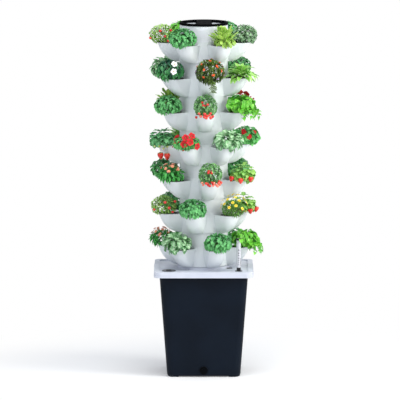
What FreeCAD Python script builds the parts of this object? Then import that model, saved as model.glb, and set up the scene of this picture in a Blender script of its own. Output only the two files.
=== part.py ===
"""Vertical planter tower: seven stacked planting tiers on a water tank, with a pump and a riser inside.

Millimetres, +Z up, +X to the right, front towards -Y. The origin is on the floor, on the tower's axis.
"""

import FreeCAD
import Part

import math
import os
from types import SimpleNamespace

import Sketcher

# Driving dimensions, in millimetres and degrees.
SIZES = {
    # Water tank: a tapered square bucket on four corner feet
    "tank_foot_width": 264.0,
    "tank_mouth_width": 321.0,
    "tank_height": 382.0,
    "tank_wall": 3.0,
    "tank_floor": 4.0,
    "tank_corner_radius": 25.0,
    "tank_foot_rounding": 10.0,
    "tank_foot_span": 42.0,
    "tank_foot_lift": 4.0,
    "rim_reach": 12.5,
    "rim_height": 10.0,
    "rim_wall": 3.0,
    # Drain fitting in the front wall
    "drain_flange_radius": 14.5,
    "drain_flange_thickness": 3.0,
    "drain_barrel_radius": 10.0,
    "drain_barrel_length": 22.0,
    "drain_bore_radius": 6.0,
    "drain_bore_gap": 0.3,
    "drain_washer_thickness": 2.0,
    "drain_nut_radius": 15.0,
    "drain_nut_thickness": 6.0,
    "drain_nut_lift": 2.0,
    "drain_boss_margin": 1.0,
    "drain_boss_height": 1.5,
    "drain_plug_head_radius": 6.8,
    "drain_plug_head_thickness": 2.5,
    "drain_plug_length": 14.0,
    "drain_plug_slot_width": 1.6,
    "drain_plug_slot_depth": 1.2,
    "drain_ring_thickness": 1.2,
    # Lid
    "lid_gap": 2.4,
    "lid_lip_reach": 2.0,
    "lid_height": 20.5,
    "lid_lip_height": 6.0,
    "lid_overlap": 14.5,
    "lid_wall": 2.6,
    "lid_border": 18.0,
    "lid_corner_radius": 26.0,
    "lid_collar_height": 9.0,
    "lid_collar_wall": 6.5,
    # Planting tiers
    "tier_pitch": 123.5,
    "neck_radius": 87.0,
    "neck_wall": 2.5,
    "band_radius": 92.0,
    "band_height": 66.0,
    "band_wall": 3.0,
    "collar_radius": 90.5,
    "collar_height": 9.0,
    "socket_gap": 0.6,
    "socket_depth": 12.0,
    "seat_gap": 0.3,
    "shoulder_thickness": 3.0,
    "tray_bead": 3.0,
    "pocket_count": 6,
    "pocket_root": 76.0,
    "pocket_wall": 3.0,
    "pocket_tip_flat": 4.0,
    "pocket_reach_1": 167.0,
    "pocket_reach_2": 157.5,
    "pocket_reach_3": 142.0,
    "pocket_reach_4": 123.0,
    "pocket_reach_5": 103.0,
    "pocket_width_1": 67.0,
    "pocket_width_2": 63.0,
    "pocket_width_3": 57.0,
    "pocket_width_4": 49.0,
    "pocket_width_5": 38.0,
    "pocket_depth_2": 23.0,
    "pocket_depth_3": 45.0,
    "pocket_depth_4": 60.0,
    "pocket_depth_5": 68.0,
    "window_width": 40.0,
    "window_top": 18.0,
    "window_foot": 59.0,
    "tier_turn_1": 30.0,
    "tier_turn_2": 8.0,
    "tier_turn_3": 2.5,
    "tier_turn_4": -24.5,
    "tier_turn_5": 9.0,
    "tier_turn_6": -15.0,
    "tier_turn_7": 20.0,
    # Drip tray in each tier
    "tray_thickness": 2.5,
    "tray_gap": 0.4,
    "tray_sleeve_radius": 16.0,
    "tray_sleeve_wall": 2.0,
    "tray_sleeve_height": 10.0,
    "tray_hole_radius": 2.2,
    "tray_outer_holes": 18,
    "tray_outer_ring": 70.0,
    "tray_inner_holes": 10,
    "tray_inner_ring": 42.0,
    # Net cup, sponge plug and plant in each pocket
    "cup_rim_drop": 0.4,
    "cup_flange_thickness": 2.0,
    "cup_mouth_gap": 2.4,
    "cup_foot_radius": 11.5,
    "cup_depth": 35.0,
    "cup_wall": 1.6,
    "cup_slot_bars": 3,
    "cup_slot_width": 5.0,
    "cup_slot_top": 7.0,
    "cup_slot_foot": 29.0,
    "plug_gap": 0.3,
    "plug_top_drop": 2.0,
    "plant_gap": 0.8,
    "plant_stem_radius": 7.0,
    "bush_radius": 43.0,
    "bush_half_height": 35.0,
    "bush_centre": 155.0,
    "bush_headroom": 62.5,
    "tall_radius": 40.0,
    "tall_half_height": 39.0,
    "tall_centre": 155.0,
    "tall_headroom": 50.5,
    "trail_radius": 46.0,
    "trail_half_height": 35.0,
    "trail_centre": 160.0,
    "trail_headroom": 68.5,
    # Top cover and cap
    "cover_height": 65.0,
    "cap_radius": 88.4,
    "cap_side": 8.5,
    "cap_spigot": 8.0,
    "cap_recess_depth": 11.0,
    "cap_recess_radius": 80.5,
    "cap_bar_end": 31.5,
    "cap_bar_waist": 25.0,
    # Pump and riser
    "pump_width": 58.0,
    "pump_front": 9.0,
    "pump_back": 40.0,
    "pump_height": 52.0,
    "pump_corner_radius": 5.0,
    "pump_shaft_height": 34.0,
    "chamber_radius": 21.0,
    "chamber_depth": 15.0,
    "tunnel_radius": 9.5,
    "tunnel_depth": 26.0,
    "nozzle_radius": 7.8,
    "nozzle_height": 26.0,
    "nozzle_bore": 5.5,
    "suction_cup_radius": 8.0,
    "suction_cup_height": 8.0,
    "suction_cup_inset": 11.0,
    "impeller_radius": 18.0,
    "impeller_hub_radius": 8.8,
    "impeller_disc": 2.0,
    "impeller_blade_bars": 3,
    "impeller_blade_height": 9.0,
    "impeller_blade_thickness": 2.0,
    "shaft_radius": 1.5,
    "shaft_gap": 0.06,
    "shaft_seat_depth": 3.0,
    "shaft_boss_radius": 3.8,
    "intake_depth": 12.0,
    "intake_wall": 2.5,
    "intake_slot_length": 24.0,
    "intake_slot_width": 3.0,
    "pipe_radius": 10.0,
    "pipe_wall": 2.0,
    "pipe_joint_drop": 30.0,
    "coupling_radius": 13.0,
    "coupling_length": 40.0,
    "coupling_gap": 0.2,
    "spray_radius": 26.0,
    "spray_height": 22.0,
    "spray_wall": 2.5,
    "spray_headroom": 22.6,
    "spray_holes": 12,
    "spray_hole_radius": 1.6,
    # Water gauge on the lid
    "gauge_setback": 8.0,
    "gauge_flange_radius": 13.5,
    "gauge_flange_thickness": 2.0,
    "gauge_barrel_radius": 7.2,
    "gauge_barrel_height": 12.0,
    "gauge_spigot_height": 6.0,
    "gauge_tube_radius": 8.2,
    "gauge_tube_wall": 1.5,
    "gauge_tube_length": 99.0,
    "gauge_cap_radius": 9.0,
    "gauge_cap_height": 6.0,
    "gauge_rod_radius": 1.5,
    "gauge_rod_gap": 0.4,
    "gauge_pointer_radius": 5.0,
    "gauge_pointer_height": 10.0,
    "gauge_rod_drop": 108.0,
    "float_radius": 20.0,
    "float_height": 40.0,
    "float_wall_gap": 2.2,
    # Filler cap and cable grommet in the lid
    "filler_across": 126.0,
    "filler_forward": 110.0,
    "filler_radius": 25.0,
    "filler_thickness": 2.5,
    "filler_spigot_radius": 22.5,
    "filler_spigot_length": 10.0,
    "filler_gap": 0.4,
    "filler_grip_width": 8.0,
    "filler_well_reach": 16.4,
    "filler_well_near_half": 11.3,
    "filler_well_far_half": 8.0,
    "filler_well_depth": 9.0,
    "grommet_across": 93.0,
    "grommet_forward": 46.0,
    "grommet_length": 20.0,
    "grommet_width": 14.0,
    "grommet_flange": 2.0,
    "grommet_bore_length": 12.0,
    "grommet_bore_width": 6.4,
}

AXIS_UP = FreeCAD.Vector(0, 0, 1)
PLACES = ("x", "y", "z")

# The tank foot's rounding as shares of its radius: how far the wall is drawn in, and at what height
FOOT_ROUNDING = ((0.6, 0), (0.2, 0.3), (0, 1))


class Size:
    """A number together with the formula that gives it from the sheet."""

    def __init__(self, number, formula=None):
        self.number = float(number)
        self.formula = formula or f"({self.number!r})"

    def joined(self, sign, other, number):
        return Size(number, f"({self.formula} {sign} {other.formula})")

    def __add__(self, other):
        other = as_size(other)
        return self.joined("+", other, self.number + other.number)

    def __sub__(self, other):
        other = as_size(other)
        return self.joined("-", other, self.number - other.number)

    def __mul__(self, other):
        other = as_size(other)
        return self.joined("*", other, self.number * other.number)

    def __truediv__(self, other):
        other = as_size(other)
        return self.joined("/", other, self.number / other.number)

    def __radd__(self, other):
        return as_size(other) + self

    def __rsub__(self, other):
        return as_size(other) - self

    def __rmul__(self, other):
        return as_size(other) * self

    def __neg__(self):
        return as_size(0) - self


def as_size(thing):
    return thing if isinstance(thing, Size) else Size(thing)


doc = FreeCAD.newDocument("planter_tower")
sheet = doc.addObject("Spreadsheet::Sheet", "sizes")
for row, (alias, number) in enumerate(SIZES.items(), start=1):
    sheet.set(f"A{row}", alias)
    sheet.set(f"B{row}", str(number))
    sheet.setAlias(f"B{row}", alias)
doc.recompute()
s = SimpleNamespace(**{alias: Size(number, f"sizes.{alias}") for alias, number in SIZES.items()})


# Helpers that make sketches and features


def bind(thing, name, size):
    """Ties a property or a constraint to the sheet."""
    thing.setExpression(name, as_size(size).formula)


def new_body(label):
    body = doc.addObject("PartDesign::Body", label)
    body.Label = label
    body.AllowCompound = True
    return body


def place(thing, x=0, y=0, z=0, turn=0):
    """Moves a sub-part to its place, with a turn about the upright axis."""
    x, y, z, turn = (as_size(part) for part in (x, y, z, turn))
    base = FreeCAD.Vector(x.number, y.number, z.number)
    thing.Placement = FreeCAD.Placement(base, FreeCAD.Rotation(AXIS_UP, turn.number))
    for name, size in zip(PLACES, (x, y, z)):
        bind(thing, f"Placement.Base.{name}", size)
    if turn.number:
        bind(thing, "Placement.Rotation.Angle", turn)


def origin_part(body, role):
    return next(part for part in body.Origin.OriginFeatures if part.Role == role)


def attach(thing, body, plane, x, y, lift):
    """Puts a sketch or a solid on one of the body's own planes, shifted in it and raised along its normal."""
    thing.AttachmentSupport = [(origin_part(body, plane), "")]
    thing.MapMode = "FlatFace"
    x, y, lift = as_size(x), as_size(y), as_size(lift)
    shift = FreeCAD.Vector(x.number, y.number, lift.number)
    thing.AttachmentOffset = FreeCAD.Placement(shift, FreeCAD.Rotation())
    for name, size in zip(PLACES, (x, y, lift)):
        if size.number:
            bind(thing, f"AttachmentOffset.Base.{name}", size)
    return thing


def new_sketch(body, plane="XY_Plane", lift=0, x=0, y=0):
    return attach(body.newObject("Sketcher::SketchObject", "sketch"), body, plane, x, y, lift)


def facing(body, forward, height):
    """A sketch that faces the front, with its origin at a height."""
    return new_sketch(body, "XZ_Plane", lift=forward, y=height)


def pin_point(sketch, element, point, x, y):
    """Fixes one point of a sketch at a distance from its origin."""
    for kind, size in (("DistanceX", x), ("DistanceY", y)):
        size = as_size(size)
        number = sketch.addConstraint(Sketcher.Constraint(kind, -1, 1, element, point, size.number))
        bind(sketch, f"Constraints[{number}]", size)


def outline(sketch, points):
    """A closed outline of straight lines through points."""
    points = [(as_size(x), as_size(y)) for x, y in points]
    corners = [FreeCAD.Vector(x.number, y.number, 0) for x, y in points]
    first = sketch.GeometryCount
    for start, end in zip(corners, corners[1:] + corners[:1]):
        sketch.addGeometry(Part.LineSegment(start, end))
    for step, (x, y) in enumerate(points):
        following = first + (step + 1) % len(points)
        sketch.addConstraint(Sketcher.Constraint("Coincident", first + step, 2, following, 1))
        pin_point(sketch, first + step, 1, x, y)
    return sketch


def box_outline(sketch, width, depth, x=0, y=0):
    """A rectangle about a centre."""
    x, y, half_width, half_depth = as_size(x), as_size(y), as_size(width) / 2, as_size(depth) / 2
    left, right, low, high = x - half_width, x + half_width, y - half_depth, y + half_depth
    return outline(sketch, [(left, low), (right, low), (right, high), (left, high)])


def circle(sketch, radius, x=0, y=0):
    radius, x, y = as_size(radius), as_size(x), as_size(y)
    centre = FreeCAD.Vector(x.number, y.number, 0)
    element = sketch.addGeometry(Part.Circle(centre, AXIS_UP, radius.number))
    pin_point(sketch, element, 3, x, y)
    number = sketch.addConstraint(Sketcher.Constraint("Radius", element, radius.number))
    bind(sketch, f"Constraints[{number}]", radius)
    return sketch


def rounded_outline(sketch, left, right, low, high, corner):
    """A rectangle with rounded corners: four lines, and four arcs tangent to them."""
    left, right, low, high, corner = (as_size(part) for part in (left, right, low, high, corner))
    x0, x1, y0, y1, c = left.number, right.number, low.number, high.number, corner.number
    first = sketch.GeometryCount
    sides = [
        ((x0 + c, y0), (x1 - c, y0), (x1 - c, y0 + c), -90),
        ((x1, y0 + c), (x1, y1 - c), (x1 - c, y1 - c), 0),
        ((x1 - c, y1), (x0 + c, y1), (x0 + c, y1 - c), 90),
        ((x0, y1 - c), (x0, y0 + c), (x0 + c, y0 + c), 180),
    ]
    for start, end, centre, turn in sides:
        sketch.addGeometry(Part.LineSegment(FreeCAD.Vector(*start, 0), FreeCAD.Vector(*end, 0)))
        ring = Part.Circle(FreeCAD.Vector(*centre, 0), AXIS_UP, c)
        sketch.addGeometry(Part.ArcOfCircle(ring, math.radians(turn), math.radians(turn + 90)))
    for side in range(4):
        line, arc = first + 2 * side, first + 2 * side + 1
        following = first + 2 * ((side + 1) % 4)
        sketch.addConstraint(Sketcher.Constraint("Tangent", line, 2, arc, 1))
        sketch.addConstraint(Sketcher.Constraint("Tangent", arc, 2, following, 1))
        sketch.addConstraint(Sketcher.Constraint("Horizontal" if side % 2 == 0 else "Vertical", line))
        if side:
            sketch.addConstraint(Sketcher.Constraint("Equal", first + 1, arc))
    edges = [("DistanceY", 0, low), ("DistanceX", 2, right), ("DistanceY", 4, high), ("DistanceX", 6, left)]
    for kind, line, size in edges:
        number = sketch.addConstraint(Sketcher.Constraint(kind, -1, 1, first + line, 1, size.number))
        bind(sketch, f"Constraints[{number}]", size)
    number = sketch.addConstraint(Sketcher.Constraint("Radius", first + 1, corner.number))
    bind(sketch, f"Constraints[{number}]", corner)
    return sketch


def rounded_square(sketch, width, corner):
    half = as_size(width) / 2
    return rounded_outline(sketch, -half, half, -half, half, corner)


def pad(body, sketch, length, down=False, centred=False):
    feature = body.newObject("PartDesign::Pad", "pad")
    feature.Profile = sketch
    bind(feature, "Length", length)
    feature.Reversed = down
    feature.Midplane = centred
    return feature


def pocket(body, sketch, depth, up=False, centred=False):
    """Cuts a sketch's outline into the solid, against the sketch's normal unless it goes up."""
    feature = body.newObject("PartDesign::Pocket", "pocket")
    feature.Profile = sketch
    bind(feature, "Length", depth)
    feature.Reversed = up
    feature.Midplane = centred
    return feature


def revolve(body, points, cut=False):
    """Turns an outline of radius and height about the upright axis, to add or to cut."""
    kind, name = ("PartDesign::Groove", "groove") if cut else ("PartDesign::Revolution", "turned")
    sketch = outline(new_sketch(body, "XZ_Plane"), points)
    feature = body.newObject(kind, name)
    feature.Profile = sketch
    feature.ReferenceAxis = (sketch, ["V_Axis"])
    feature.Angle = 360
    return feature


def loft(body, sketches, cut=False, straight=False):
    kind = "PartDesign::SubtractiveLoft" if cut else "PartDesign::AdditiveLoft"
    feature = body.newObject(kind, "loft")
    feature.Profile = sketches[0]
    feature.Sections = sketches[1:]
    feature.Ruled = straight
    return feature


def round_pattern(body, features, count, axis=None):
    """Repeats features about an axis. With no features, the whole body so far is repeated."""
    pattern = body.newObject("PartDesign::PolarPattern", "pattern")
    if features:
        pattern.Originals = features
    else:
        pattern.TransformMode = "Whole shape"
    pattern.Axis = axis or (origin_part(body, "Z_Axis"), [""])
    pattern.Angle = 360
    bind(pattern, "Occurrences", count)
    body.Tip = pattern
    return pattern


def turned_part(label, points):
    """A body that is one turned outline."""
    body = new_body(label)
    revolve(body, points)
    return body


def twin(master, label):
    """Another body of the same shape."""
    body = new_body(label)
    copy = body.newObject("PartDesign::FeatureBase", "copy")
    copy.BaseFeature = master
    body.Tip = copy
    return body


def in_each_pocket(master, label, centre):
    """One body that holds a copy of another in each pocket, at a distance from the axis."""
    body = twin(master, label)
    bind(body.Tip, "Placement.Base.y", -centre)
    doc.recompute()
    round_pattern(body, [], s.pocket_count)
    return body


# Heights that several pieces share
panel_top = s.tank_height + s.lid_wall
lid_foot = s.tank_height - s.lid_overlap
rim_7 = panel_top + s.lid_collar_height + s.pocket_depth_5
tier_rims = [rim_7 + s.tier_pitch * (7 - number) for number in range(1, 8)]
tier_turns = [s.tier_turn_1, s.tier_turn_2, s.tier_turn_3, s.tier_turn_4]
tier_turns += [s.tier_turn_5, s.tier_turn_6, s.tier_turn_7]
rim_width = s.tank_mouth_width + s.rim_reach * 2
lid_band_width = rim_width + (s.lid_gap + s.lid_wall) * 2
lid_width = lid_band_width + s.lid_lip_reach * 2
neck_bore = s.neck_radius - s.neck_wall
socket_bore = s.neck_radius + s.socket_gap
tray_seat = -(s.band_height - s.band_wall)
tank_inside = s.tank_foot_lift + s.tank_floor
pipe_joint = s.tank_height - s.pipe_joint_drop
spray_top = tier_rims[0] + s.cover_height - s.cap_spigot - s.spray_headroom
pipe_top = spray_top - s.spray_height / 2

# The tank's inside, its wall's slope, and the drain fitting's line and seats
tank_slope = (s.tank_mouth_width - s.tank_foot_width) / s.tank_height
inner_foot = s.tank_foot_width + tank_slope * tank_inside - s.tank_wall * 2
inner_mouth = s.tank_mouth_width - s.tank_wall * 2
inner_slope = (inner_mouth - inner_foot) / (s.tank_height - tank_inside)
drain_height = tank_inside + s.drain_nut_radius + s.drain_nut_lift
drain_seat = (s.tank_foot_width + tank_slope * drain_height) / 2 + s.drain_boss_height
drain_inner_seat = drain_seat - s.tank_wall - s.drain_boss_height * 2

# Heights in the water gauge, whose float runs down beside the tank's wall
gauge_flange_top = panel_top + s.gauge_flange_thickness
gauge_barrel_top = gauge_flange_top + s.gauge_barrel_height
gauge_spigot_top = gauge_barrel_top + s.gauge_spigot_height
pointer_foot = gauge_spigot_top + s.seat_gap
float_top = pointer_foot - s.gauge_rod_drop
float_foot = float_top - s.float_height
float_room = (inner_foot + inner_slope * (float_foot - tank_inside)) / 2
gauge_across = float_room - s.float_radius - s.float_wall_gap
gauge_forward = gauge_across - s.gauge_setback

# The net cup hangs by its flange on the pocket's edge, centred in the pocket's rounded end
cup_flange_radius = s.pocket_width_1 / 2 - s.cup_rim_drop
cup_mouth_radius = s.pocket_width_1 / 2 - s.pocket_wall - s.cup_mouth_gap
cup_centre = s.pocket_reach_1 - s.pocket_width_1 / 2 - s.plant_gap
cup_inner_mouth = cup_mouth_radius - s.cup_wall
cup_inner_foot = s.cup_foot_radius - s.cup_wall
cup_inner_slope = (cup_inner_mouth - cup_inner_foot) / (s.cup_depth - s.cup_wall)

# How each kind of crown is sized: radius, half height, distance from the axis, and room up to the next rim
CROWN_SIZES = {
    "bush": (s.bush_radius, s.bush_half_height, s.bush_centre, s.bush_headroom),
    "tall": (s.tall_radius, s.tall_half_height, s.tall_centre, s.tall_headroom),
    "trail": (s.trail_radius, s.trail_half_height, s.trail_centre, s.trail_headroom),
}

# What grows in each tier from the top down, from its first pocket round against the clock
PLANTING = (
    ("tall", "bush", "bush", "trail", "bush", "bush"),
    ("bush", "bush", "bush", "trail", "bush", "bush"),
    ("bush", "trail", "bush", "bush", "tall", "bush"),
    ("bush", "bush", "bush", "bush", "bush", "trail"),
    ("bush", "trail", "bush", "tall", "tall", "bush"),
    ("bush", "tall", "trail", "bush", "bush", "bush"),
    ("bush", "trail", "trail", "bush", "bush", "bush"),
)


def build_tank():
    """Tapered bucket with rounded corners, four feet, a turned-down rim and a drain hole."""
    body = new_body("reservoir")
    edge, corner = s.tank_foot_rounding, s.tank_corner_radius
    levels = []
    for drawn_in, lift in FOOT_ROUNDING:
        width = s.tank_foot_width + tank_slope * edge * lift - edge * drawn_in * 2
        levels.append(rounded_square(new_sketch(body, lift=edge * lift), width, corner - edge * drawn_in))
    levels.append(rounded_square(new_sketch(body, lift=s.tank_height), s.tank_mouth_width, corner))
    loft(body, levels, straight=True)

    rim = rounded_square(
        new_sketch(body, lift=s.tank_height - s.rim_height), rim_width, s.tank_corner_radius
    )
    pad(body, rim, s.rim_height)
    gutter = new_sketch(body, lift=s.tank_height - s.rim_height)
    rounded_square(gutter, rim_width - s.rim_wall * 2, s.tank_corner_radius - s.rim_wall)
    rounded_square(gutter, s.tank_mouth_width, s.tank_corner_radius)
    pocket(body, gutter, s.rim_height - s.rim_wall, up=True)

    inner_corner = s.tank_corner_radius - s.tank_wall
    low = rounded_square(new_sketch(body, lift=tank_inside), inner_foot, inner_corner)
    high = rounded_square(new_sketch(body, lift=s.tank_height), inner_mouth, inner_corner)
    loft(body, [low, high], cut=True, straight=True)

    # Only the corner feet reach the floor
    for width, depth in (
        (s.tank_foot_width - s.tank_foot_span * 2, s.tank_mouth_width),
        (s.tank_mouth_width, s.tank_foot_width - s.tank_foot_span * 2),
    ):
        pocket(body, box_outline(new_sketch(body), width, depth), s.tank_foot_lift, up=True)

    # Flat seats for the drain fitting, outside and inside the sloping front wall
    seat = circle(facing(body, drain_seat, drain_height), s.drain_nut_radius + s.drain_boss_margin)
    pad(body, seat, s.tank_wall + s.drain_boss_height * 2, down=True)
    hole = circle(facing(body, drain_seat, drain_height), s.drain_barrel_radius + s.drain_bore_gap)
    pocket(body, hole, s.tank_wall + s.drain_boss_height * 4)
    return body


def build_drain():
    """Bulkhead fitting with its washer, lock nut, screw plug and sealing ring, on a level axis."""
    front = drain_seat + s.drain_washer_thickness + s.drain_flange_thickness

    fitting = new_body("drain_fitting")
    flange = circle(facing(fitting, front, drain_height), s.drain_flange_radius)
    pad(fitting, flange, s.drain_flange_thickness, down=True)
    barrel = circle(facing(fitting, front, drain_height), s.drain_barrel_radius)
    pad(fitting, barrel, s.drain_flange_thickness + s.drain_barrel_length, down=True)
    bore = circle(facing(fitting, front, drain_height), s.drain_bore_radius)
    pocket(fitting, bore, s.drain_flange_thickness + s.drain_barrel_length)

    washer = new_body("drain_washer")
    ring = facing(washer, drain_seat, drain_height)
    circle(ring, s.drain_flange_radius)
    circle(ring, s.drain_barrel_radius + s.drain_bore_gap)
    pad(washer, ring, s.drain_washer_thickness)

    nut = new_body("drain_nut")
    hexagon = facing(nut, drain_inner_seat, drain_height)
    corners = []
    for step in range(6):
        angle = math.radians(60 * step)
        across = s.drain_nut_radius * math.cos(angle)
        corners.append((across, s.drain_nut_radius * math.sin(angle)))
    outline(hexagon, corners)
    circle(hexagon, s.drain_barrel_radius + s.drain_bore_gap)
    pad(nut, hexagon, s.drain_nut_thickness, down=True)

    plug_seat = front + s.drain_ring_thickness
    plug = new_body("drain_plug")
    head = facing(plug, plug_seat, drain_height)
    circle(head, s.drain_plug_head_radius)
    pad(plug, head, s.drain_plug_head_thickness)
    shank = facing(plug, plug_seat, drain_height)
    circle(shank, s.drain_bore_radius - s.drain_bore_gap)
    pad(plug, shank, s.drain_plug_length, down=True)
    slot = facing(plug, plug_seat + s.drain_plug_head_thickness, drain_height)
    box_outline(slot, s.drain_plug_head_radius * 4, s.drain_plug_slot_width)
    pocket(plug, slot, s.drain_plug_slot_depth)

    seal = new_body("drain_plug_ring")
    loop = facing(seal, front, drain_height)
    circle(loop, s.drain_plug_head_radius)
    circle(loop, s.drain_bore_radius)
    pad(seal, loop, s.drain_ring_thickness)
    return [fitting, washer, nut, plug, seal]


def build_lid():
    """Square lid: two-step skirt, sunk panel, collar for the tower, and holes for what stands in it."""
    body = new_body("reservoir_lid")
    corner = s.lid_corner_radius
    lip = rounded_square(new_sketch(body, lift=lid_foot), lid_width, corner)
    pad(body, lip, s.lid_lip_height)
    band = rounded_square(new_sketch(body, lift=lid_foot), lid_band_width, corner)
    pad(body, band, s.lid_height)
    sunk = new_sketch(body, lift=lid_foot + s.lid_height)
    rounded_square(sunk, lid_band_width - s.lid_border * 2, corner - s.lid_border / 2)
    pocket(body, sunk, lid_foot + s.lid_height - panel_top)
    under = new_sketch(body, lift=lid_foot)
    rounded_square(under, lid_band_width - s.lid_wall * 2, corner - s.lid_wall)
    pocket(body, under, s.tank_height - lid_foot, up=True)

    collar = circle(new_sketch(body, lift=panel_top), socket_bore + s.lid_collar_wall)
    pad(body, collar, s.lid_collar_height)
    openings = new_sketch(body, lift=s.tank_height)
    circle(openings, socket_bore)
    circle(openings, s.gauge_barrel_radius + s.filler_gap, gauge_across, -gauge_forward)
    circle(openings, s.filler_spigot_radius + s.filler_gap, -s.filler_across, -s.filler_forward)
    half_length = s.grommet_length / 2 - s.grommet_flange
    half_width = s.grommet_width / 2 - s.grommet_flange
    rounded_outline(
        openings,
        s.grommet_across - half_length,
        s.grommet_across + half_length,
        -s.grommet_forward - half_width,
        -s.grommet_forward + half_width,
        half_width - s.filler_gap,
    )
    pocket(body, openings, s.lid_collar_height + s.lid_wall, up=True)
    return body


def pocket_section(body, reach, width, depth, inset):
    """One level cut through a pocket: straight sides out of the column, and a round end."""
    sketch = new_sketch(body, lift=-as_size(depth))
    half, end = width / 2 - inset, reach - inset
    corner = half - s.pocket_tip_flat / 2
    h, e, c, r = half.number, end.number, corner.number, s.pocket_root.number
    runs = [((-h, c - e), (-h, -r)), ((-h, -r), (h, -r)), ((h, -r), (h, c - e)), ((h - c, -e), (c - h, -e))]
    for first, last in runs:
        sketch.addGeometry(Part.LineSegment(FreeCAD.Vector(*first, 0), FreeCAD.Vector(*last, 0)))
    for across, turn in ((h - c, 270), (c - h, 180)):
        ring = Part.Circle(FreeCAD.Vector(across, c - e, 0), AXIS_UP, c)
        sketch.addGeometry(Part.ArcOfCircle(ring, math.radians(turn), math.radians(turn + 90)))
    left, root, right, tip, right_arc, left_arc = range(6)
    for kind, *joined in (
        ("Coincident", left, 2, root, 1),
        ("Coincident", root, 2, right, 1),
        ("Tangent", right, 2, right_arc, 2),
        ("Tangent", right_arc, 1, tip, 1),
        ("Tangent", tip, 2, left_arc, 2),
        ("Tangent", left_arc, 1, left, 1),
        ("Vertical", left),
        ("Vertical", right),
        ("Horizontal", tip),
        ("Equal", left_arc, right_arc),
    ):
        sketch.addConstraint(Sketcher.Constraint(kind, *joined))
    pin_point(sketch, root, 1, -half, -s.pocket_root)
    pin_point(sketch, root, 2, half, -s.pocket_root)
    number = sketch.addConstraint(Sketcher.Constraint("DistanceY", -1, 1, tip, 1, -e))
    bind(sketch, f"Constraints[{number}]", -end)
    number = sketch.addConstraint(Sketcher.Constraint("Radius", right_arc, c))
    bind(sketch, f"Constraints[{number}]", corner)
    return sketch


def build_tier():
    """One tier: collar, band with scooped pockets, and the neck that stands in the tier below."""
    body = new_body("tier_1")
    reaches = [s.pocket_reach_1, s.pocket_reach_2, s.pocket_reach_3, s.pocket_reach_4, s.pocket_reach_5]
    widths = [s.pocket_width_1, s.pocket_width_2, s.pocket_width_3, s.pocket_width_4, s.pocket_width_5]
    depths = [as_size(0), s.pocket_depth_2, s.pocket_depth_3, s.pocket_depth_4, s.pocket_depth_5]
    levels = list(zip(reaches, widths, depths))
    outer = [pocket_section(body, *level, as_size(0)) for level in levels]
    round_pattern(body, [loft(body, outer)], s.pocket_count)
    levels[-1] = (s.pocket_reach_5, s.pocket_width_5, s.pocket_depth_5 - s.pocket_wall)
    levels[-2] = (s.pocket_reach_4, s.pocket_width_4, s.pocket_depth_4 - s.pocket_wall / 2)
    inner = [pocket_section(body, *level, s.pocket_wall) for level in levels]
    round_pattern(body, [loft(body, inner, cut=True)], s.pocket_count)

    # The column's wall, from the collar's top edge down to the foot of the neck and back up inside
    neck_foot = s.seat_gap - s.tier_pitch - s.socket_depth
    bead = neck_bore - s.tray_bead
    band_bore = s.band_radius - s.band_wall
    shoulder_foot = -s.socket_depth - s.shoulder_thickness
    outside = [
        (s.collar_radius, s.collar_height),
        (s.collar_radius, 0),
        (s.band_radius, 0),
        (s.band_radius, -s.band_height),
        (s.neck_radius, -s.band_height),
        (s.neck_radius, neck_foot),
        (neck_bore, neck_foot),
    ]
    inside = [
        (neck_bore, -s.band_height),
        (bead, -s.band_height),
        (bead, tray_seat),
        (band_bore, tray_seat),
        (band_bore, shoulder_foot),
        (neck_bore, shoulder_foot),
        (neck_bore, -s.socket_depth),
        (socket_bore, -s.socket_depth),
        (socket_bore, s.collar_height),
    ]
    revolve(body, outside + inside)
    deep = -s.pocket_depth_5 - s.pocket_wall
    revolve(body, [(0, s.collar_height), (0, deep), (neck_bore, deep)] + inside, cut=True)

    # Each pocket opens into the column below the socket
    window = new_sketch(body, "XZ_Plane", lift=s.band_radius + s.pocket_wall)
    box_outline(
        window, s.window_width, s.window_foot - s.window_top, 0, -(s.window_foot + s.window_top) / 2
    )
    cut = pocket(body, window, s.band_radius + s.pocket_wall - s.pocket_root)
    round_pattern(body, [cut], s.pocket_count)
    return body


def build_tray():
    """Perforated drip tray on the bead inside a tier, with a sleeve round the riser."""
    body = new_body("drip_tray_1")
    sleeve_bore = s.tray_sleeve_radius - s.tray_sleeve_wall
    edge = neck_bore - s.tray_gap
    sleeve_top = tray_seat + s.tray_sleeve_height
    top = tray_seat + s.tray_thickness
    profile = [(sleeve_bore, tray_seat), (edge, tray_seat), (edge, top), (s.tray_sleeve_radius, top)]
    revolve(body, profile + [(s.tray_sleeve_radius, sleeve_top), (sleeve_bore, sleeve_top)])
    for ring, count in ((s.tray_outer_ring, s.tray_outer_holes), (s.tray_inner_ring, s.tray_inner_holes)):
        hole = circle(new_sketch(body, lift=top), s.tray_hole_radius, ring, 0)
        round_pattern(body, [pocket(body, hole, s.tray_thickness)], count)
    return body


def build_cup():
    """Flanged net cup with upright slots round its cone, made on the axis."""
    body = new_body("net_cup")
    profile = [
        (0, -s.cup_depth),
        (s.cup_foot_radius, -s.cup_depth),
        (cup_mouth_radius, 0),
        (cup_flange_radius, 0),
        (cup_flange_radius, s.cup_flange_thickness),
        (cup_inner_mouth, s.cup_flange_thickness),
        (cup_inner_mouth, 0),
        (cup_inner_foot, s.cup_wall - s.cup_depth),
        (0, s.cup_wall - s.cup_depth),
    ]
    revolve(body, profile)
    slot = box_outline(new_sketch(body, lift=-s.cup_slot_top), cup_flange_radius * 2, s.cup_slot_width)
    round_pattern(body, [pocket(body, slot, s.cup_slot_foot - s.cup_slot_top)], s.cup_slot_bars)
    return body


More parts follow.
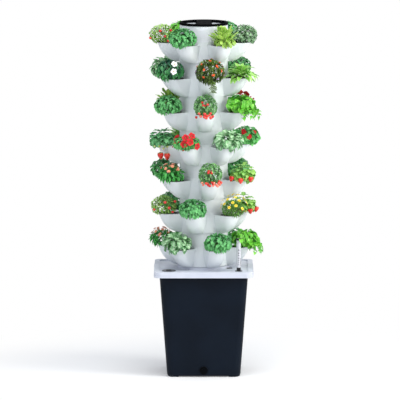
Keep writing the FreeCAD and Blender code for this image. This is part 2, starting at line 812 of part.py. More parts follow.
def build_plug():
    """Tapered sponge plug that stands in a net cup, made on the axis."""
    foot = s.cup_wall - s.cup_depth + s.plug_gap
    top = -s.plug_top_drop
    slim = cup_inner_foot - s.plug_gap
    wide = cup_inner_mouth - cup_inner_slope * s.plug_top_drop - s.plug_gap
    return turned_part("sponge_plug", [(0, foot), (slim, foot), (wide, top), (0, top)])


def build_plants(number, kinds):
    """The plants of one tier: a leafy crown over the edge of each pocket, on its stem from the plug."""
    body = new_body(f"plants_{number}")
    for step, kind in enumerate(kinds):
        turn = f"360 / sizes.pocket_count * {step}"
        angle = math.radians(360 / s.pocket_count.number * step)
        radius, half_height, centre, headroom = CROWN_SIZES[kind]
        across = Size(centre.number * math.sin(angle), f"({centre.formula} * sin({turn}))")
        along = Size(-centre.number * math.cos(angle), f"(-{centre.formula} * cos({turn}))")
        crown = body.newObject("PartDesign::AdditiveEllipsoid", "crown")
        attach(crown, body, "XY_Plane", across, along, s.tier_pitch - headroom - half_height)
        bind(crown, "Radius1", half_height)
        bind(crown, "Radius2", radius)
        bind(crown, "Radius3", radius)
    flange_room = s.cup_flange_thickness + s.plant_gap
    edge = pocket_section(body, s.pocket_reach_1, s.pocket_width_1, -flange_room, -s.plant_gap)
    room = pocket(body, edge, flange_room + s.bush_half_height)
    stem = circle(new_sketch(body, lift=s.plug_gap - s.plug_top_drop), s.plant_stem_radius, 0, -cup_centre)
    round_pattern(body, [room], s.pocket_count)
    round_pattern(body, [pad(body, stem, flange_room + s.plug_top_drop * 2)], s.pocket_count)
    return body


def build_cover():
    """Plain tube that closes the column above the top tier, standing in its collar."""
    foot, top = s.seat_gap - s.socket_depth, s.cover_height
    profile = [(neck_bore, foot), (s.neck_radius, foot), (s.neck_radius, top), (neck_bore, top)]
    return turned_part("top_cover", profile)


def build_cap():
    """Round cap with two finger recesses and a waisted grip bar between them."""
    body = new_body("top_cap")
    spigot = neck_bore - s.socket_gap
    profile = [(0, -s.cap_spigot), (spigot, -s.cap_spigot), (spigot, 0), (s.cap_radius, 0)]
    revolve(body, profile + [(s.cap_radius, s.cap_side), (0, s.cap_side)])

    # Each recess lies between the rim's arc and the shallow arc of the bar's side
    recess, end, waist = s.cap_recess_radius.number, s.cap_bar_end.number, s.cap_bar_waist.number
    half_chord = math.sqrt(recess**2 - end**2)
    bar_side = (half_chord**2 + (end - waist) ** 2) / (2 * (end - waist))
    for side in (1, -1):
        sketch = new_sketch(body, lift=s.cap_side)
        rim_turn = math.atan2(half_chord, end)
        bar_turn = math.asin(half_chord / bar_side)
        middle = 0 if side > 0 else math.pi
        rim = Part.Circle(FreeCAD.Vector(0, 0, 0), AXIS_UP, recess)
        bar = Part.Circle(FreeCAD.Vector(side * (waist + bar_side), 0, 0), AXIS_UP, bar_side)
        sketch.addGeometry(Part.ArcOfCircle(rim, middle - rim_turn, middle + rim_turn))
        sketch.addGeometry(Part.ArcOfCircle(bar, math.pi - middle - bar_turn, math.pi - middle + bar_turn))
        sketch.addConstraint(Sketcher.Constraint("Coincident", 0, 2, 1, 1))
        sketch.addConstraint(Sketcher.Constraint("Coincident", 0, 1, 1, 2))
        sketch.addConstraint(Sketcher.Constraint("Coincident", 0, 3, -1, 1))
        number = sketch.addConstraint(Sketcher.Constraint("Radius", 0, recess))
        bind(sketch, f"Constraints[{number}]", s.cap_recess_radius)
        number = sketch.addConstraint(Sketcher.Constraint("DistanceX", -1, 1, 0, 1, side * end))
        bind(sketch, f"Constraints[{number}]", side * s.cap_bar_end)
        number = sketch.addConstraint(Sketcher.Constraint("DistanceX", -1, 1, 0, 2, side * end))
        bind(sketch, f"Constraints[{number}]", side * s.cap_bar_end)
        reach = s.cap_recess_radius * s.cap_recess_radius - s.cap_bar_end * s.cap_bar_end
        dip = s.cap_bar_end - s.cap_bar_waist
        number = sketch.addConstraint(Sketcher.Constraint("Radius", 1, bar_side))
        bind(sketch, f"Constraints[{number}]", (reach + dip * dip) / (dip * 2))
        pocket(body, sketch, s.cap_recess_depth)
    return body


def build_pump():
    """Submersible pump: housing with rotor tunnel and outlet, feet, slotted cover, shaft and impeller."""
    foot = tank_inside + s.suction_cup_height
    shaft_line = foot + s.pump_shaft_height - s.suction_cup_height
    front, back = s.pump_front, -s.pump_back
    chamber_back = front - s.chamber_depth
    tunnel_back = chamber_back - s.tunnel_depth

    housing = new_body("pump_housing")
    base = new_sketch(housing, lift=foot)
    half = s.pump_width / 2
    rounded_outline(base, -half, half, -front, s.pump_back, s.pump_corner_radius)
    pad(housing, base, s.pump_height)
    pad(housing, circle(new_sketch(housing, lift=foot + s.pump_height), s.nozzle_radius), s.nozzle_height)
    outlet = circle(new_sketch(housing, lift=foot + s.pump_height + s.nozzle_height), s.nozzle_bore)
    pocket(housing, outlet, foot + s.pump_height + s.nozzle_height - shaft_line)
    for radius, depth in (
        (s.chamber_radius, s.chamber_depth),
        (s.tunnel_radius, s.chamber_depth + s.tunnel_depth),
        (s.shaft_radius, s.chamber_depth + s.tunnel_depth + s.shaft_seat_depth),
    ):
        hole = circle(facing(housing, front, shaft_line), radius)
        pocket(housing, hole, depth)

    feet = new_body("pump_feet")
    pads = new_sketch(feet, lift=tank_inside)
    for across in (s.suction_cup_inset - half, half - s.suction_cup_inset):
        for along in (s.suction_cup_inset - front, s.pump_back - s.suction_cup_inset):
            circle(pads, s.suction_cup_radius, across, along)
    pad(feet, pads, s.suction_cup_height)

    cover = new_body("pump_cover")
    drum = circle(facing(cover, front, shaft_line), s.chamber_radius + s.intake_wall)
    pad(cover, drum, s.intake_depth)
    hollow = circle(facing(cover, front, shaft_line), s.chamber_radius)
    pocket(cover, hollow, s.intake_depth - s.intake_wall, up=True)
    boss = circle(facing(cover, front, shaft_line), s.shaft_boss_radius)
    pad(cover, boss, s.intake_depth - s.intake_wall)
    socket = circle(facing(cover, front, shaft_line), s.shaft_radius)
    pocket(cover, socket, s.shaft_seat_depth, up=True)
    slots = facing(cover, front + s.intake_depth, shaft_line)
    for side in (-1, 1):
        for step in range(2):
            height = side * (s.shaft_boss_radius + s.intake_slot_width * (1 + 2 * step))
            box_outline(slots, s.intake_slot_length, s.intake_slot_width, 0, height)
    pocket(cover, slots, s.intake_wall)

    shaft = new_body("impeller_shaft")
    rod = circle(facing(shaft, tunnel_back - s.shaft_seat_depth, shaft_line), s.shaft_radius)
    pad(shaft, rod, s.chamber_depth + s.tunnel_depth + s.shaft_seat_depth * 2)

    wheel = new_body("impeller")
    hub_front = front - s.shaft_radius
    hub_back = tunnel_back + s.shaft_radius
    disc_back = chamber_back + s.impeller_disc / 2
    hub = circle(facing(wheel, hub_back, shaft_line), s.impeller_hub_radius)
    pad(wheel, hub, disc_back - hub_back)
    neck = circle(facing(wheel, hub_back, shaft_line), s.shaft_boss_radius)
    pad(wheel, neck, hub_front - hub_back)
    disc = circle(facing(wheel, disc_back, shaft_line), s.impeller_radius)
    pad(wheel, disc, s.impeller_disc)
    blades = facing(wheel, disc_back + s.impeller_disc, shaft_line)
    box_outline(blades, s.impeller_radius * 2 - s.impeller_disc, s.impeller_blade_thickness)
    blade = pad(wheel, blades, s.impeller_blade_height)
    round_pattern(wheel, [blade], s.impeller_blade_bars, (blades, ["N_Axis"]))
    bore = circle(facing(wheel, hub_front, shaft_line), s.shaft_radius + s.shaft_gap)
    pocket(wheel, bore, hub_front - hub_back)
    return [housing, feet, cover, shaft, wheel]


def build_riser():
    """Two lengths of pipe joined by a coupling, with a spray head on top."""
    nozzle_foot = tank_inside + s.suction_cup_height + s.pump_height
    pipe_foot = nozzle_foot + s.seat_gap
    bore = s.pipe_radius - s.pipe_wall

    def tube(label, inner, outer, low, high):
        return turned_part(label, [(inner, low), (outer, low), (outer, high), (inner, high)])

    lower = tube("riser_pipe_lower", bore, s.pipe_radius, pipe_foot, pipe_joint)
    upper = tube("riser_pipe_upper", bore, s.pipe_radius, pipe_joint + s.seat_gap, pipe_top)
    coupling_foot = pipe_joint - s.coupling_length / 2
    coupling = tube(
        "riser_coupling",
        s.pipe_radius + s.coupling_gap,
        s.coupling_radius,
        coupling_foot,
        coupling_foot + s.coupling_length,
    )

    # The head sits over the pipe's end and throws water out sideways through a ring of holes
    wall, top = s.spray_wall, spray_top
    foot = top - s.spray_height
    sleeve = s.pipe_radius + s.coupling_gap
    head = turned_part(
        "spray_head",
        [
            (sleeve, foot),
            (sleeve + wall, foot),
            (sleeve + wall, pipe_top),
            (s.spray_radius, pipe_top),
            (s.spray_radius, top),
            (0, top),
            (0, top - wall),
            (s.spray_radius - wall, top - wall),
            (s.spray_radius - wall, pipe_top + wall),
            (bore, pipe_top + wall),
            (bore, pipe_top + s.seat_gap),
            (sleeve, pipe_top + s.seat_gap),
        ],
    )
    hole = circle(facing(head, s.spray_radius, pipe_top + s.spray_height / 4), s.spray_hole_radius)
    round_pattern(head, [pocket(head, hole, wall * 2)], s.spray_holes)
    return [lower, upper, coupling, head]


def build_gauge():
    """Water gauge: base in the lid, clear tube with its cap, and a float on a rod with a pointer."""
    base_foot = s.tank_height - s.gauge_flange_thickness * 2
    flange_top, barrel_top, spigot_top = gauge_flange_top, gauge_barrel_top, gauge_spigot_top
    tube_bore = s.gauge_tube_radius - s.gauge_tube_wall
    spigot = tube_bore - s.coupling_gap
    rod_bore = s.gauge_rod_radius + s.gauge_rod_gap
    tube_top = barrel_top + s.gauge_tube_length
    base = turned_part(
        "gauge_base",
        [
            (rod_bore, base_foot),
            (s.gauge_barrel_radius, base_foot),
            (s.gauge_barrel_radius, panel_top),
            (s.gauge_flange_radius, panel_top),
            (s.gauge_flange_radius, flange_top),
            (s.gauge_barrel_radius, flange_top),
            (s.gauge_barrel_radius, barrel_top),
            (spigot, barrel_top),
            (spigot, spigot_top),
            (rod_bore, spigot_top),
        ],
    )
    tube = turned_part(
        "gauge_tube",
        [
            (tube_bore, barrel_top),
            (s.gauge_tube_radius, barrel_top),
            (s.gauge_tube_radius, tube_top),
            (tube_bore, tube_top),
        ],
    )
    cap = turned_part(
        "gauge_cap",
        [
            (0, tube_top - s.gauge_cap_height / 2),
            (spigot, tube_top - s.gauge_cap_height / 2),
            (spigot, tube_top),
            (s.gauge_cap_radius, tube_top),
            (s.gauge_cap_radius, tube_top + s.gauge_cap_height),
            (0, tube_top + s.gauge_cap_height),
        ],
    )
    rod = turned_part(
        "gauge_rod",
        [
            (0, float_top),
            (s.gauge_rod_radius, float_top),
            (s.gauge_rod_radius, pointer_foot),
            (s.gauge_pointer_radius, pointer_foot),
            (s.gauge_pointer_radius, pointer_foot + s.gauge_pointer_height),
            (0, pointer_foot + s.gauge_pointer_height),
        ],
    )
    edge = s.float_radius / 4
    ball = turned_part(
        "gauge_float",
        [
            (0, float_foot),
            (s.float_radius - edge, float_foot),
            (s.float_radius, float_foot + edge),
            (s.float_radius, float_top - edge),
            (s.float_radius - edge, float_top),
            (0, float_top),
        ],
    )
    pieces = [base, tube, cap, rod, ball]
    for piece in pieces:
        place(piece, gauge_across, -gauge_forward)
    return pieces


def build_filler():
    """Lift-out cap of the filling hole: flat disc and spigot, with a finger bar between two wells."""
    top = panel_top + s.filler_thickness
    spigot_foot = panel_top - s.filler_spigot_length
    body = turned_part(
        "filler_cap",
        [
            (0, spigot_foot),
            (s.filler_spigot_radius, spigot_foot),
            (s.filler_spigot_radius, panel_top),
            (s.filler_radius, panel_top),
            (s.filler_radius, top),
            (0, top),
        ],
    )
    for side in (-1, 1):
        near, far = side * s.filler_grip_width / 2, side * s.filler_well_reach
        near_half, far_half = s.filler_well_near_half, s.filler_well_far_half
        well = new_sketch(body, lift=top)
        outline(well, [(-near_half, near), (near_half, near), (far_half, far), (-far_half, far)])
        pocket(body, well, s.filler_well_depth)
    place(body, -s.filler_across, -s.filler_forward)
    return body


def build_grommet():
    """Oval rubber grommet for the pump lead, with a slot through it."""
    body = new_body("cable_grommet")
    flange = s.grommet_flange
    half_length, half_width = s.grommet_length / 2, s.grommet_width / 2
    neck_length = half_length - flange - s.coupling_gap
    neck_width = half_width - flange - s.coupling_gap
    thin = s.filler_gap
    head = new_sketch(body, lift=panel_top)
    rounded_outline(head, -half_length, half_length, -half_width, half_width, half_width - thin)
    pad(body, head, flange)
    neck = new_sketch(body, lift=s.tank_height - flange)
    rounded_outline(neck, -neck_length, neck_length, -neck_width, neck_width, neck_width - thin)
    pad(body, neck, panel_top - s.tank_height + flange)
    slot = new_sketch(body, lift=panel_top + flange)
    bore_length, bore_width = s.grommet_bore_length / 2, s.grommet_bore_width / 2
    rounded_outline(slot, -bore_length, bore_length, -bore_width, bore_width, bore_width - thin)
    pocket(body, slot, flange * 3 + s.tank_wall)
    place(body, s.grommet_across, -s.grommet_forward)
    return body


def build_tower():
    """The seven tiers with what stands in them, each set of pieces copied from the first."""
    shell, tray = build_tier(), build_tray()
    cups = in_each_pocket(build_cup(), "net_cups_1", cup_centre)
    plugs = in_each_pocket(build_plug(), "sponge_plugs_1", cup_centre)
    firsts = [shell, tray, cups, plugs]
    pieces = []
    for number, (rim, turn) in enumerate(zip(tier_rims, tier_turns), start=1):
        for first in firsts:
            name = first.Label[: first.Label.rindex("_")]
            piece = first if number == 1 else twin(first, f"{name}_{number}")
            pieces.append((piece, rim, turn))
        pieces.append((build_plants(number, PLANTING[number - 1]), rim, turn))
    for piece, rim, turn in pieces:
        place(piece, z=rim, turn=turn)
    return [piece for piece, rim, turn in pieces]


def build_all():
    """Every sub-part of the tower, in the order in which it is put together."""
    pieces = [build_tank(), *build_drain(), *build_pump(), *build_riser(), build_lid()]
    pieces += [*build_gauge(), build_filler(), build_grommet(), *build_tower()]
    cover, cap = build_cover(), build_cap()
    place(cover, z=tier_rims[0])
    place(cap, z=tier_rims[0] + s.cover_height)
    return pieces + [cover, cap]


def check_and_write(pieces):
    """Stops at a failed feature or a bad solid, then writes one file for each sub-part."""
    doc.recompute()
    for thing in doc.Objects:
        if "Invalid" in thing.State or "Error" in thing.State:
            raise RuntimeError(f"{thing.Name} ({thing.Label}) failed: {thing.State}")
    for piece in pieces:
        if piece.Shape.isNull() or not piece.Shape.isValid() or not piece.Shape.Solids:
            raise RuntimeError(f"{piece.Label} has no valid solid")
    os.makedirs("parts", exist_ok=True)
    for piece in pieces:
        piece.Shape.exportStep(f"parts/{piece.Label}.step")


check_and_write(build_all())
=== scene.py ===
import math
import random

import bpy
from mathutils import Matrix, Quaternion, Vector


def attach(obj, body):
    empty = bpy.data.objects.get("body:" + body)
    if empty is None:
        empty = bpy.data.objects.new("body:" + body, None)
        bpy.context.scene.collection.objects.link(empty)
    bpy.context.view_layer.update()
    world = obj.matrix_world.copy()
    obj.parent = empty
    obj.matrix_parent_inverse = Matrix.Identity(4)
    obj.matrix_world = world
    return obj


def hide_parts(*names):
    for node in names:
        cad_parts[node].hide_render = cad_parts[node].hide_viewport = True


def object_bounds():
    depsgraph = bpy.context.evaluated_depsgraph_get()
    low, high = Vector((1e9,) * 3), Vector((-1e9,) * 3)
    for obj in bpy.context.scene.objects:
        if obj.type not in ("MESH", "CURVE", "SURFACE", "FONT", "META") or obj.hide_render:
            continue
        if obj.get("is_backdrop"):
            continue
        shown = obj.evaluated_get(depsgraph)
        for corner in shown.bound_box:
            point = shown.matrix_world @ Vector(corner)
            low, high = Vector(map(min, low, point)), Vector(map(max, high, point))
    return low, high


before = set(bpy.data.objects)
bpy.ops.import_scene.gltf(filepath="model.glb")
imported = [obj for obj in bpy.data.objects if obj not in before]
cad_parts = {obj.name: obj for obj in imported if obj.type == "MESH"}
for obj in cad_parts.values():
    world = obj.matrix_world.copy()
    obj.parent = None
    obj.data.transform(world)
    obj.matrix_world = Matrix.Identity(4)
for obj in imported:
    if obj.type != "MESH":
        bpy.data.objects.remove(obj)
cad_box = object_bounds()

# Real sizes of the tower, in millimetres
TIERS = range(1, 8)
RIM_1 = 1202.6
PITCH = 123.5
TURNS = (30.0, 8.0, 2.5, -24.5, 9.0, -15.0, 20.0)
POCKETS = 6
CUP_CENTRE = 132.7
COLUMN_CLEAR = 95.0
SPREAD_MOST, SPREAD_EASE = 220.0, 16.0
POCKET_TIP, POCKET_SIDE, FLANGE_TOP, STEM_ROOM = 35.5, 35.0, 2.6, 13.0
MM = 0.001
UP = Vector((0, 0, 1))

# Height of the floors of the top cap's finger recesses
CAP_FLOOR = 1265.1

# How high a leaf may stand at each distance from the axis, under the pockets of the tier above
CEILING = ((0, 53), (103, 53), (123, 61), (142, 76), (157.5, 98), (167, 120), (172, 200))
OPEN_CEILING = 200
CEILING_EASE = 10.0

# The turn from one leaf to the next that spreads them evenly, in radians
GOLDEN_TURN = 2.39996

rng = random.Random(41)


def body_of_tier(tier):
    return "lid" if tier == 7 else f"tier_{tier}"


def rim_of_tier(tier):
    return RIM_1 - PITCH * (tier - 1)


# Materials


def linear(code):
    """Turns an sRGB hex colour into the linear numbers that a shader takes."""
    shares = [int(code[spot:spot + 2], 16) / 255 for spot in (1, 3, 5)]
    return (*(v / 12.92 if v <= 0.04045 else ((v + 0.055) / 1.055) ** 2.4 for v in shares), 1.0)


# The kinds of node used here: the node, its inputs in the order given, the output read, and its settings
RANGE = ("Value", "From Min", "From Max", "To Min", "To Max")
KINDS = {
    "place": ("ShaderNodeTexCoord", (), "Object", {}),
    "stretch": ("ShaderNodeMapping", ("Vector", "Scale"), "Vector", {}),
    "noise": ("ShaderNodeTexNoise", ("Vector", "Scale", "Detail"), 0, {}),
    "cells": ("ShaderNodeTexVoronoi", ("Vector", "Scale"), "Distance", {}),
    "mix": ("ShaderNodeMix", (0, 6, 7), 2, {"data_type": "RGBA"}),
    "map": ("ShaderNodeMapRange", RANGE, "Result", {}),
    "ease": ("ShaderNodeMapRange", RANGE, "Result", {"interpolation_type": "SMOOTHSTEP"}),
    "times": ("ShaderNodeMath", (0, 1), 0, {"operation": "MULTIPLY"}),
    "less": ("ShaderNodeMath", (0, 1), 0, {"operation": "SUBTRACT"}),
    "wave": ("ShaderNodeMath", (0,), 0, {"operation": "SINE"}),
    "most": ("ShaderNodeMath", (0, 1), 0, {"operation": "MAXIMUM"}),
    "height": ("ShaderNodeSeparateXYZ", ("Vector",), "Z", {}),
    "length": ("ShaderNodeVectorMath", (0,), "Value", {"operation": "LENGTH"}),
    "tone": ("ShaderNodeAttribute", (), "Fac", {"attribute_name": "tone"}),
    "across": ("ShaderNodeAttribute", (), "Fac", {"attribute_name": "across"}),
    "along": ("ShaderNodeAttribute", (), "Fac", {"attribute_name": "along"}),
    "bump": ("ShaderNodeBump", ("Height", "Distance", "Strength"), "Normal", {}),
    "seen": ("ShaderNodeLightPath", (), "Is Camera Ray", {}),
    "mirrored": ("ShaderNodeLightPath", (), "Is Glossy Ray", {}),
    "looked through": ("ShaderNodeLightPath", (), "Is Transmission Ray", {}),
    "paint": ("ShaderNodeBsdfDiffuse", ("Color",), "BSDF", {}),
    "glow": ("ShaderNodeEmission", ("Color", "Strength"), "Emission", {}),
    "air": ("ShaderNodeBackground", ("Color", "Strength"), "Background", {}),
    "blend": ("ShaderNodeMixShader", (0, 1, 2), "Shader", {}),
    "surface": ("ShaderNodeOutputMaterial", ("Surface",), None, {}),
    "sky": ("ShaderNodeOutputWorld", ("Surface",), None, {}),
}


def add(tree, kind, *things):
    """Adds a node. Each thing fills one of its inputs: a number, a hex colour or another node's output."""
    name, inputs, output, settings = KINDS[kind]
    made = tree.nodes.new(name)
    for setting, value in settings.items():
        setattr(made, setting, value)
    for socket, thing in zip(inputs, things):
        if isinstance(thing, bpy.types.NodeSocket):
            tree.links.new(thing, made.inputs[socket])
        else:
            made.inputs[socket].default_value = linear(thing) if isinstance(thing, str) else thing
    return None if output is None else made.outputs[output]


def per_metre(size_mm):
    """How many of a pattern's grains of a real size lie in a metre, which is a texture's scale."""
    return 1 / (size_mm * MM)


def new_material(name, constants):
    """A material with one shader, whose constants are the same all over the surface."""
    made = bpy.data.materials.new(name)
    made.use_nodes = True
    shader = made.node_tree.nodes["Principled BSDF"]
    for socket, value in constants.items():
        shader.inputs[socket].default_value = value
    return made, made.node_tree, shader


def finish_shader(tree, shader, colour, rough=None, normal=None):
    """Joins a colour, a roughness and a normal that change over the surface to the shader."""
    for socket, source in (("Base Color", colour), ("Roughness", rough), ("Normal", normal)):
        if source:
            tree.links.new(source, shader.inputs[socket])


def moulded(name, shade, second, rough, grain_mm=1.2, texture=0.12, coat=0.0, cloud_mm=90.0, shine=0.5):
    """Injection-moulded plastic: one colour with faint clouds of a second, fine texture and soft gloss."""
    constants = {"IOR": 1.5, "Coat Weight": coat, "Coat Roughness": 0.15, "Specular IOR Level": shine}
    made, tree, shader = new_material(name, constants)
    place = add(tree, "place")
    clouds = add(tree, "ease", add(tree, "noise", place, per_metre(cloud_mm), 2.0), 0.35, 0.65, 0.0, 1.0)
    rub = add(tree, "noise", place, per_metre(cloud_mm / 4), 4.0)
    rub = add(tree, "map", rub, 0.3, 0.7, rough - 0.05, rough + 0.07)
    sparks = add(tree, "noise", place, per_metre(grain_mm), 3.0)
    finish_shader(tree, shader, add(tree, "mix", clouds, shade, second), rub,
                  add(tree, "bump", sparks, 0.1 * MM, texture))
    return made


def black_cap_with_painted_reflection():
    """Satin black ABS whose two finger recesses have floors coloured light grey: a painted reflection of the
    pale surroundings, as seen from above.
    """
    constants = {"IOR": 1.5, "Specular IOR Level": 0.004}
    made, tree, shader = new_material("satin_black_abs_painted_reflection", constants)
    place = add(tree, "place")
    black = add(tree, "mix", add(tree, "noise", place, per_metre(60.0), 2.0), "#08090b", "#0e0f12")
    height = add(tree, "height", place)
    sunk = add(tree, "map", height, CAP_FLOOR * MM, (CAP_FLOOR + 1) * MM, 1.0, 0.0)
    above_spigot = add(tree, "map", height, (CAP_FLOOR - 1) * MM, (CAP_FLOOR - 0.5) * MM, 0.0, 1.0)
    painted_reflection_floors = add(tree, "times", sunk, above_spigot)
    rub = add(tree, "map", add(tree, "noise", place, per_metre(8.0), 3.0), 0.3, 0.7, 0.55, 0.7)
    # Painted reflection: the recess floors take the light grey #c3c7cb in place of the pale surroundings they
    # reflect
    finish_shader(tree, shader, add(tree, "mix", painted_reflection_floors, black, "#c3c7cb"), rub)
    return made


def leaf_skin(name, deep, light, vein, edge, edge_share=0.0, blotch=None, blotch_share=0.0, rough=0.42):
    """Living leaf: waxy, each its own tone, with a paler midrib and side veins, and an edge or blotches."""
    made, tree, shader = new_material(name, {"IOR": 1.4, "Coat Weight": 0.08, "Coat Roughness": 0.35})
    place, across, along = add(tree, "place"), add(tree, "across"), add(tree, "along")
    colour = add(tree, "mix", add(tree, "tone"), deep, light)
    if blotch:
        patches = add(tree, "noise", place, per_metre(5.0), 3.0)
        patches = add(tree, "ease", patches, 0.62 - blotch_share, 0.70 - blotch_share, 0.0, 1.0)
        colour = add(tree, "mix", patches, colour, blotch)
    if edge_share:
        outer = add(tree, "ease", across, 1.0 - edge_share, 1.0, 0.0, 1.0)
        colour = add(tree, "mix", outer, colour, edge)
    slanted = add(tree, "less", along, add(tree, "times", across, 0.35))
    side_veins = add(tree, "wave", add(tree, "times", slanted, 44.0))
    rib = add(tree, "ease", across, 0.0, 0.2, 0.7, 0.0)
    fine = add(tree, "ease", side_veins, 0.75, 1.0, 0.0, 0.3)
    colour = add(tree, "mix", add(tree, "most", rib, fine), colour, vein)
    rub = add(tree, "noise", place, per_metre(3.0), 3.0)
    rub = add(tree, "map", rub, 0.3, 0.7, rough - 0.06, rough + 0.1)
    finish_shader(tree, shader, colour, rub, add(tree, "bump", side_veins, 0.3 * MM, 0.35))
    return made


def petal_skin(name, base, tip, rough=0.55):
    """Petal: velvety and matte, darker towards its root, with fine streaks along it."""
    constants = {"IOR": 1.38, "Sheen Weight": 0.25, "Sheen Roughness": 0.4, "Roughness": rough}
    made, tree, shader = new_material(name, constants)
    place = add(tree, "place")
    spread = add(tree, "ease", add(tree, "along"), 0.05, 0.7, 0.0, 1.0)
    streaks = add(tree, "noise", add(tree, "stretch", place, (1, 1, 0.3)), per_metre(1.5), 4.0)
    streaks = add(tree, "map", streaks, 0.35, 0.75, 0.0, 0.35)
    colour = add(tree, "mix", streaks, add(tree, "mix", spread, base, tip), base)
    velvet = add(tree, "noise", place, per_metre(1.0), 3.0)
    finish_shader(tree, shader, colour, normal=add(tree, "bump", velvet, 0.2 * MM, 0.3))
    return made


def fruit_skin(name, ripe, pale, seeds=None):
    """Ripe fruit: taut and glossy, paler at the shoulder. A berry also has rows of sunk yellow seeds."""
    constants = {"IOR": 1.42, "Coat Weight": 0.4, "Coat Roughness": 0.12, "Roughness": 0.28}
    made, tree, shader = new_material(name, constants)
    place = add(tree, "place")
    shoulder = add(tree, "ease", add(tree, "along"), 0.0, 0.3, 0.6, 0.0)
    colour = add(tree, "mix", shoulder, add(tree, "mix", add(tree, "tone"), ripe, pale), pale)
    height = add(tree, "noise", place, per_metre(4.0), 2.0)
    if seeds:
        cells = add(tree, "cells", place, per_metre(3.2))
        colour = add(tree, "mix", add(tree, "map", cells, 0.12, 0.2, 1.0, 0.0), colour, seeds)
        height = add(tree, "ease", cells, 0.0, 0.4, 0.0, 1.0)
    finish_shader(tree, shader, colour, normal=add(tree, "bump", height, 0.4 * MM, 0.5 if seeds else 0.05))
    return made


def sponge_skin():
    """Open-celled foam: cream, matte, pitted with cells about 1.5 mm wide, with painted shade darkening the
    pits.
    """
    made, tree, shader = new_material("open_cell_foam", {"Roughness": 0.92, "IOR": 1.45})
    cells = add(tree, "cells", add(tree, "place"), per_metre(1.5))
    pits_and_painted_shade = add(tree, "ease", cells, 0.1, 0.5, 0.0, 1.0)
    # Painted shade: the colour darkens to #a58f62 down in the pits; the same pits also give the bump
    colour = add(tree, "mix", pits_and_painted_shade, "#a58f62", "#e2d6ae")
    finish_shader(tree, shader, colour, normal=add(tree, "bump", pits_and_painted_shade, 0.6 * MM, 0.7))
    return made


def clear_acrylic():
    """Extruded clear acrylic: hard, smooth, faintly violet where it is thick."""
    constants = {"IOR": 1.49, "Transmission Weight": 0.3, "Coat Weight": 0.2, "Coat Roughness": 0.05}
    made, tree, shader = new_material("extruded_acrylic", constants)
    place = add(tree, "place")
    haze = add(tree, "noise", place, per_metre(25.0), 2.0)
    rub = add(tree, "map", add(tree, "noise", place, per_metre(6.0), 3.0), 0.3, 0.7, 0.08, 0.16)
    finish_shader(tree, shader, add(tree, "mix", haze, "#e0e2ea", "#e8eaf0"), rub)
    return made


def turned_steel():
    """Ground stainless shaft: bright, with fine rings across it."""
    made, tree, shader = new_material("ground_stainless", {"Metallic": 1.0})
    rings = add(tree, "noise", add(tree, "stretch", add(tree, "place"), (0.05, 1, 0.05)), per_metre(0.4), 2.0)
    rub = add(tree, "map", rings, 0.3, 0.7, 0.22, 0.36)
    finish_shader(tree, shader, add(tree, "mix", rings, "#a9abad", "#d0d2d4"), rub)
    return made


tank_plastic = moulded("moulded_black_polypropylene", "#06101c", "#091421", 0.52, 1.4, 0.20,
                       cloud_mm=140.0, shine=0.12)
drain_plastic = moulded("moulded_drain_nylon", "#030407", "#05070b", 0.50, 0.8, 0.10, shine=0.05)
lid_plastic = moulded("moulded_grey_polypropylene", "#cfd3de", "#c7ccd8", 0.44, 1.2, 0.10)
tier_plastic = moulded("moulded_white_polypropylene", "#dfe4e6", "#d9dee1", 0.40, 1.2, 0.08)
cover_plastic = moulded("extruded_white_pvc", "#e2e4ea", "#dcdfe6", 0.38, 1.6, 0.06)
cap_plastic = black_cap_with_painted_reflection()
fitting_plastic = moulded("moulded_black_nylon", "#0b0c0e", "#121417", 0.30, 0.8, 0.10, coat=0.1)
seal_rubber = moulded("moulded_nitrile_rubber", "#0d0d0e", "#161617", 0.68, 0.7, 0.15)
pump_plastic = moulded("moulded_black_abs", "#15171a", "#1b1d21", 0.38, 1.0, 0.15)
impeller_plastic = moulded("moulded_natural_acetal", "#cfcdc4", "#c6c4ba", 0.34, 1.0, 0.06)
pipe_plastic = moulded("extruded_white_pipe", "#e4e4df", "#dcdcd6", 0.28, 2.0, 0.04)
pointer_plastic = moulded("moulded_red_styrene", "#b3201c", "#a51a18", 0.25, 1.0, 0.03)
float_foam = moulded("closed_cell_foam", "#d98b35", "#cf8230", 0.80, 1.0, 0.45)
tray_plastic = moulded("moulded_tray_polypropylene", "#dcdfe2", "#d5d9dc", 0.46, 1.0, 0.10)
cup_plastic = moulded("moulded_black_cup", "#131415", "#1b1c1d", 0.45, 0.9, 0.12)
gauge_marking = moulded("dark_gauge_marking", "#23252c", "#2b2d35", 0.6, 0.6, 0.10)
acrylic = clear_acrylic()
steel = turned_steel()
foam = sponge_skin()

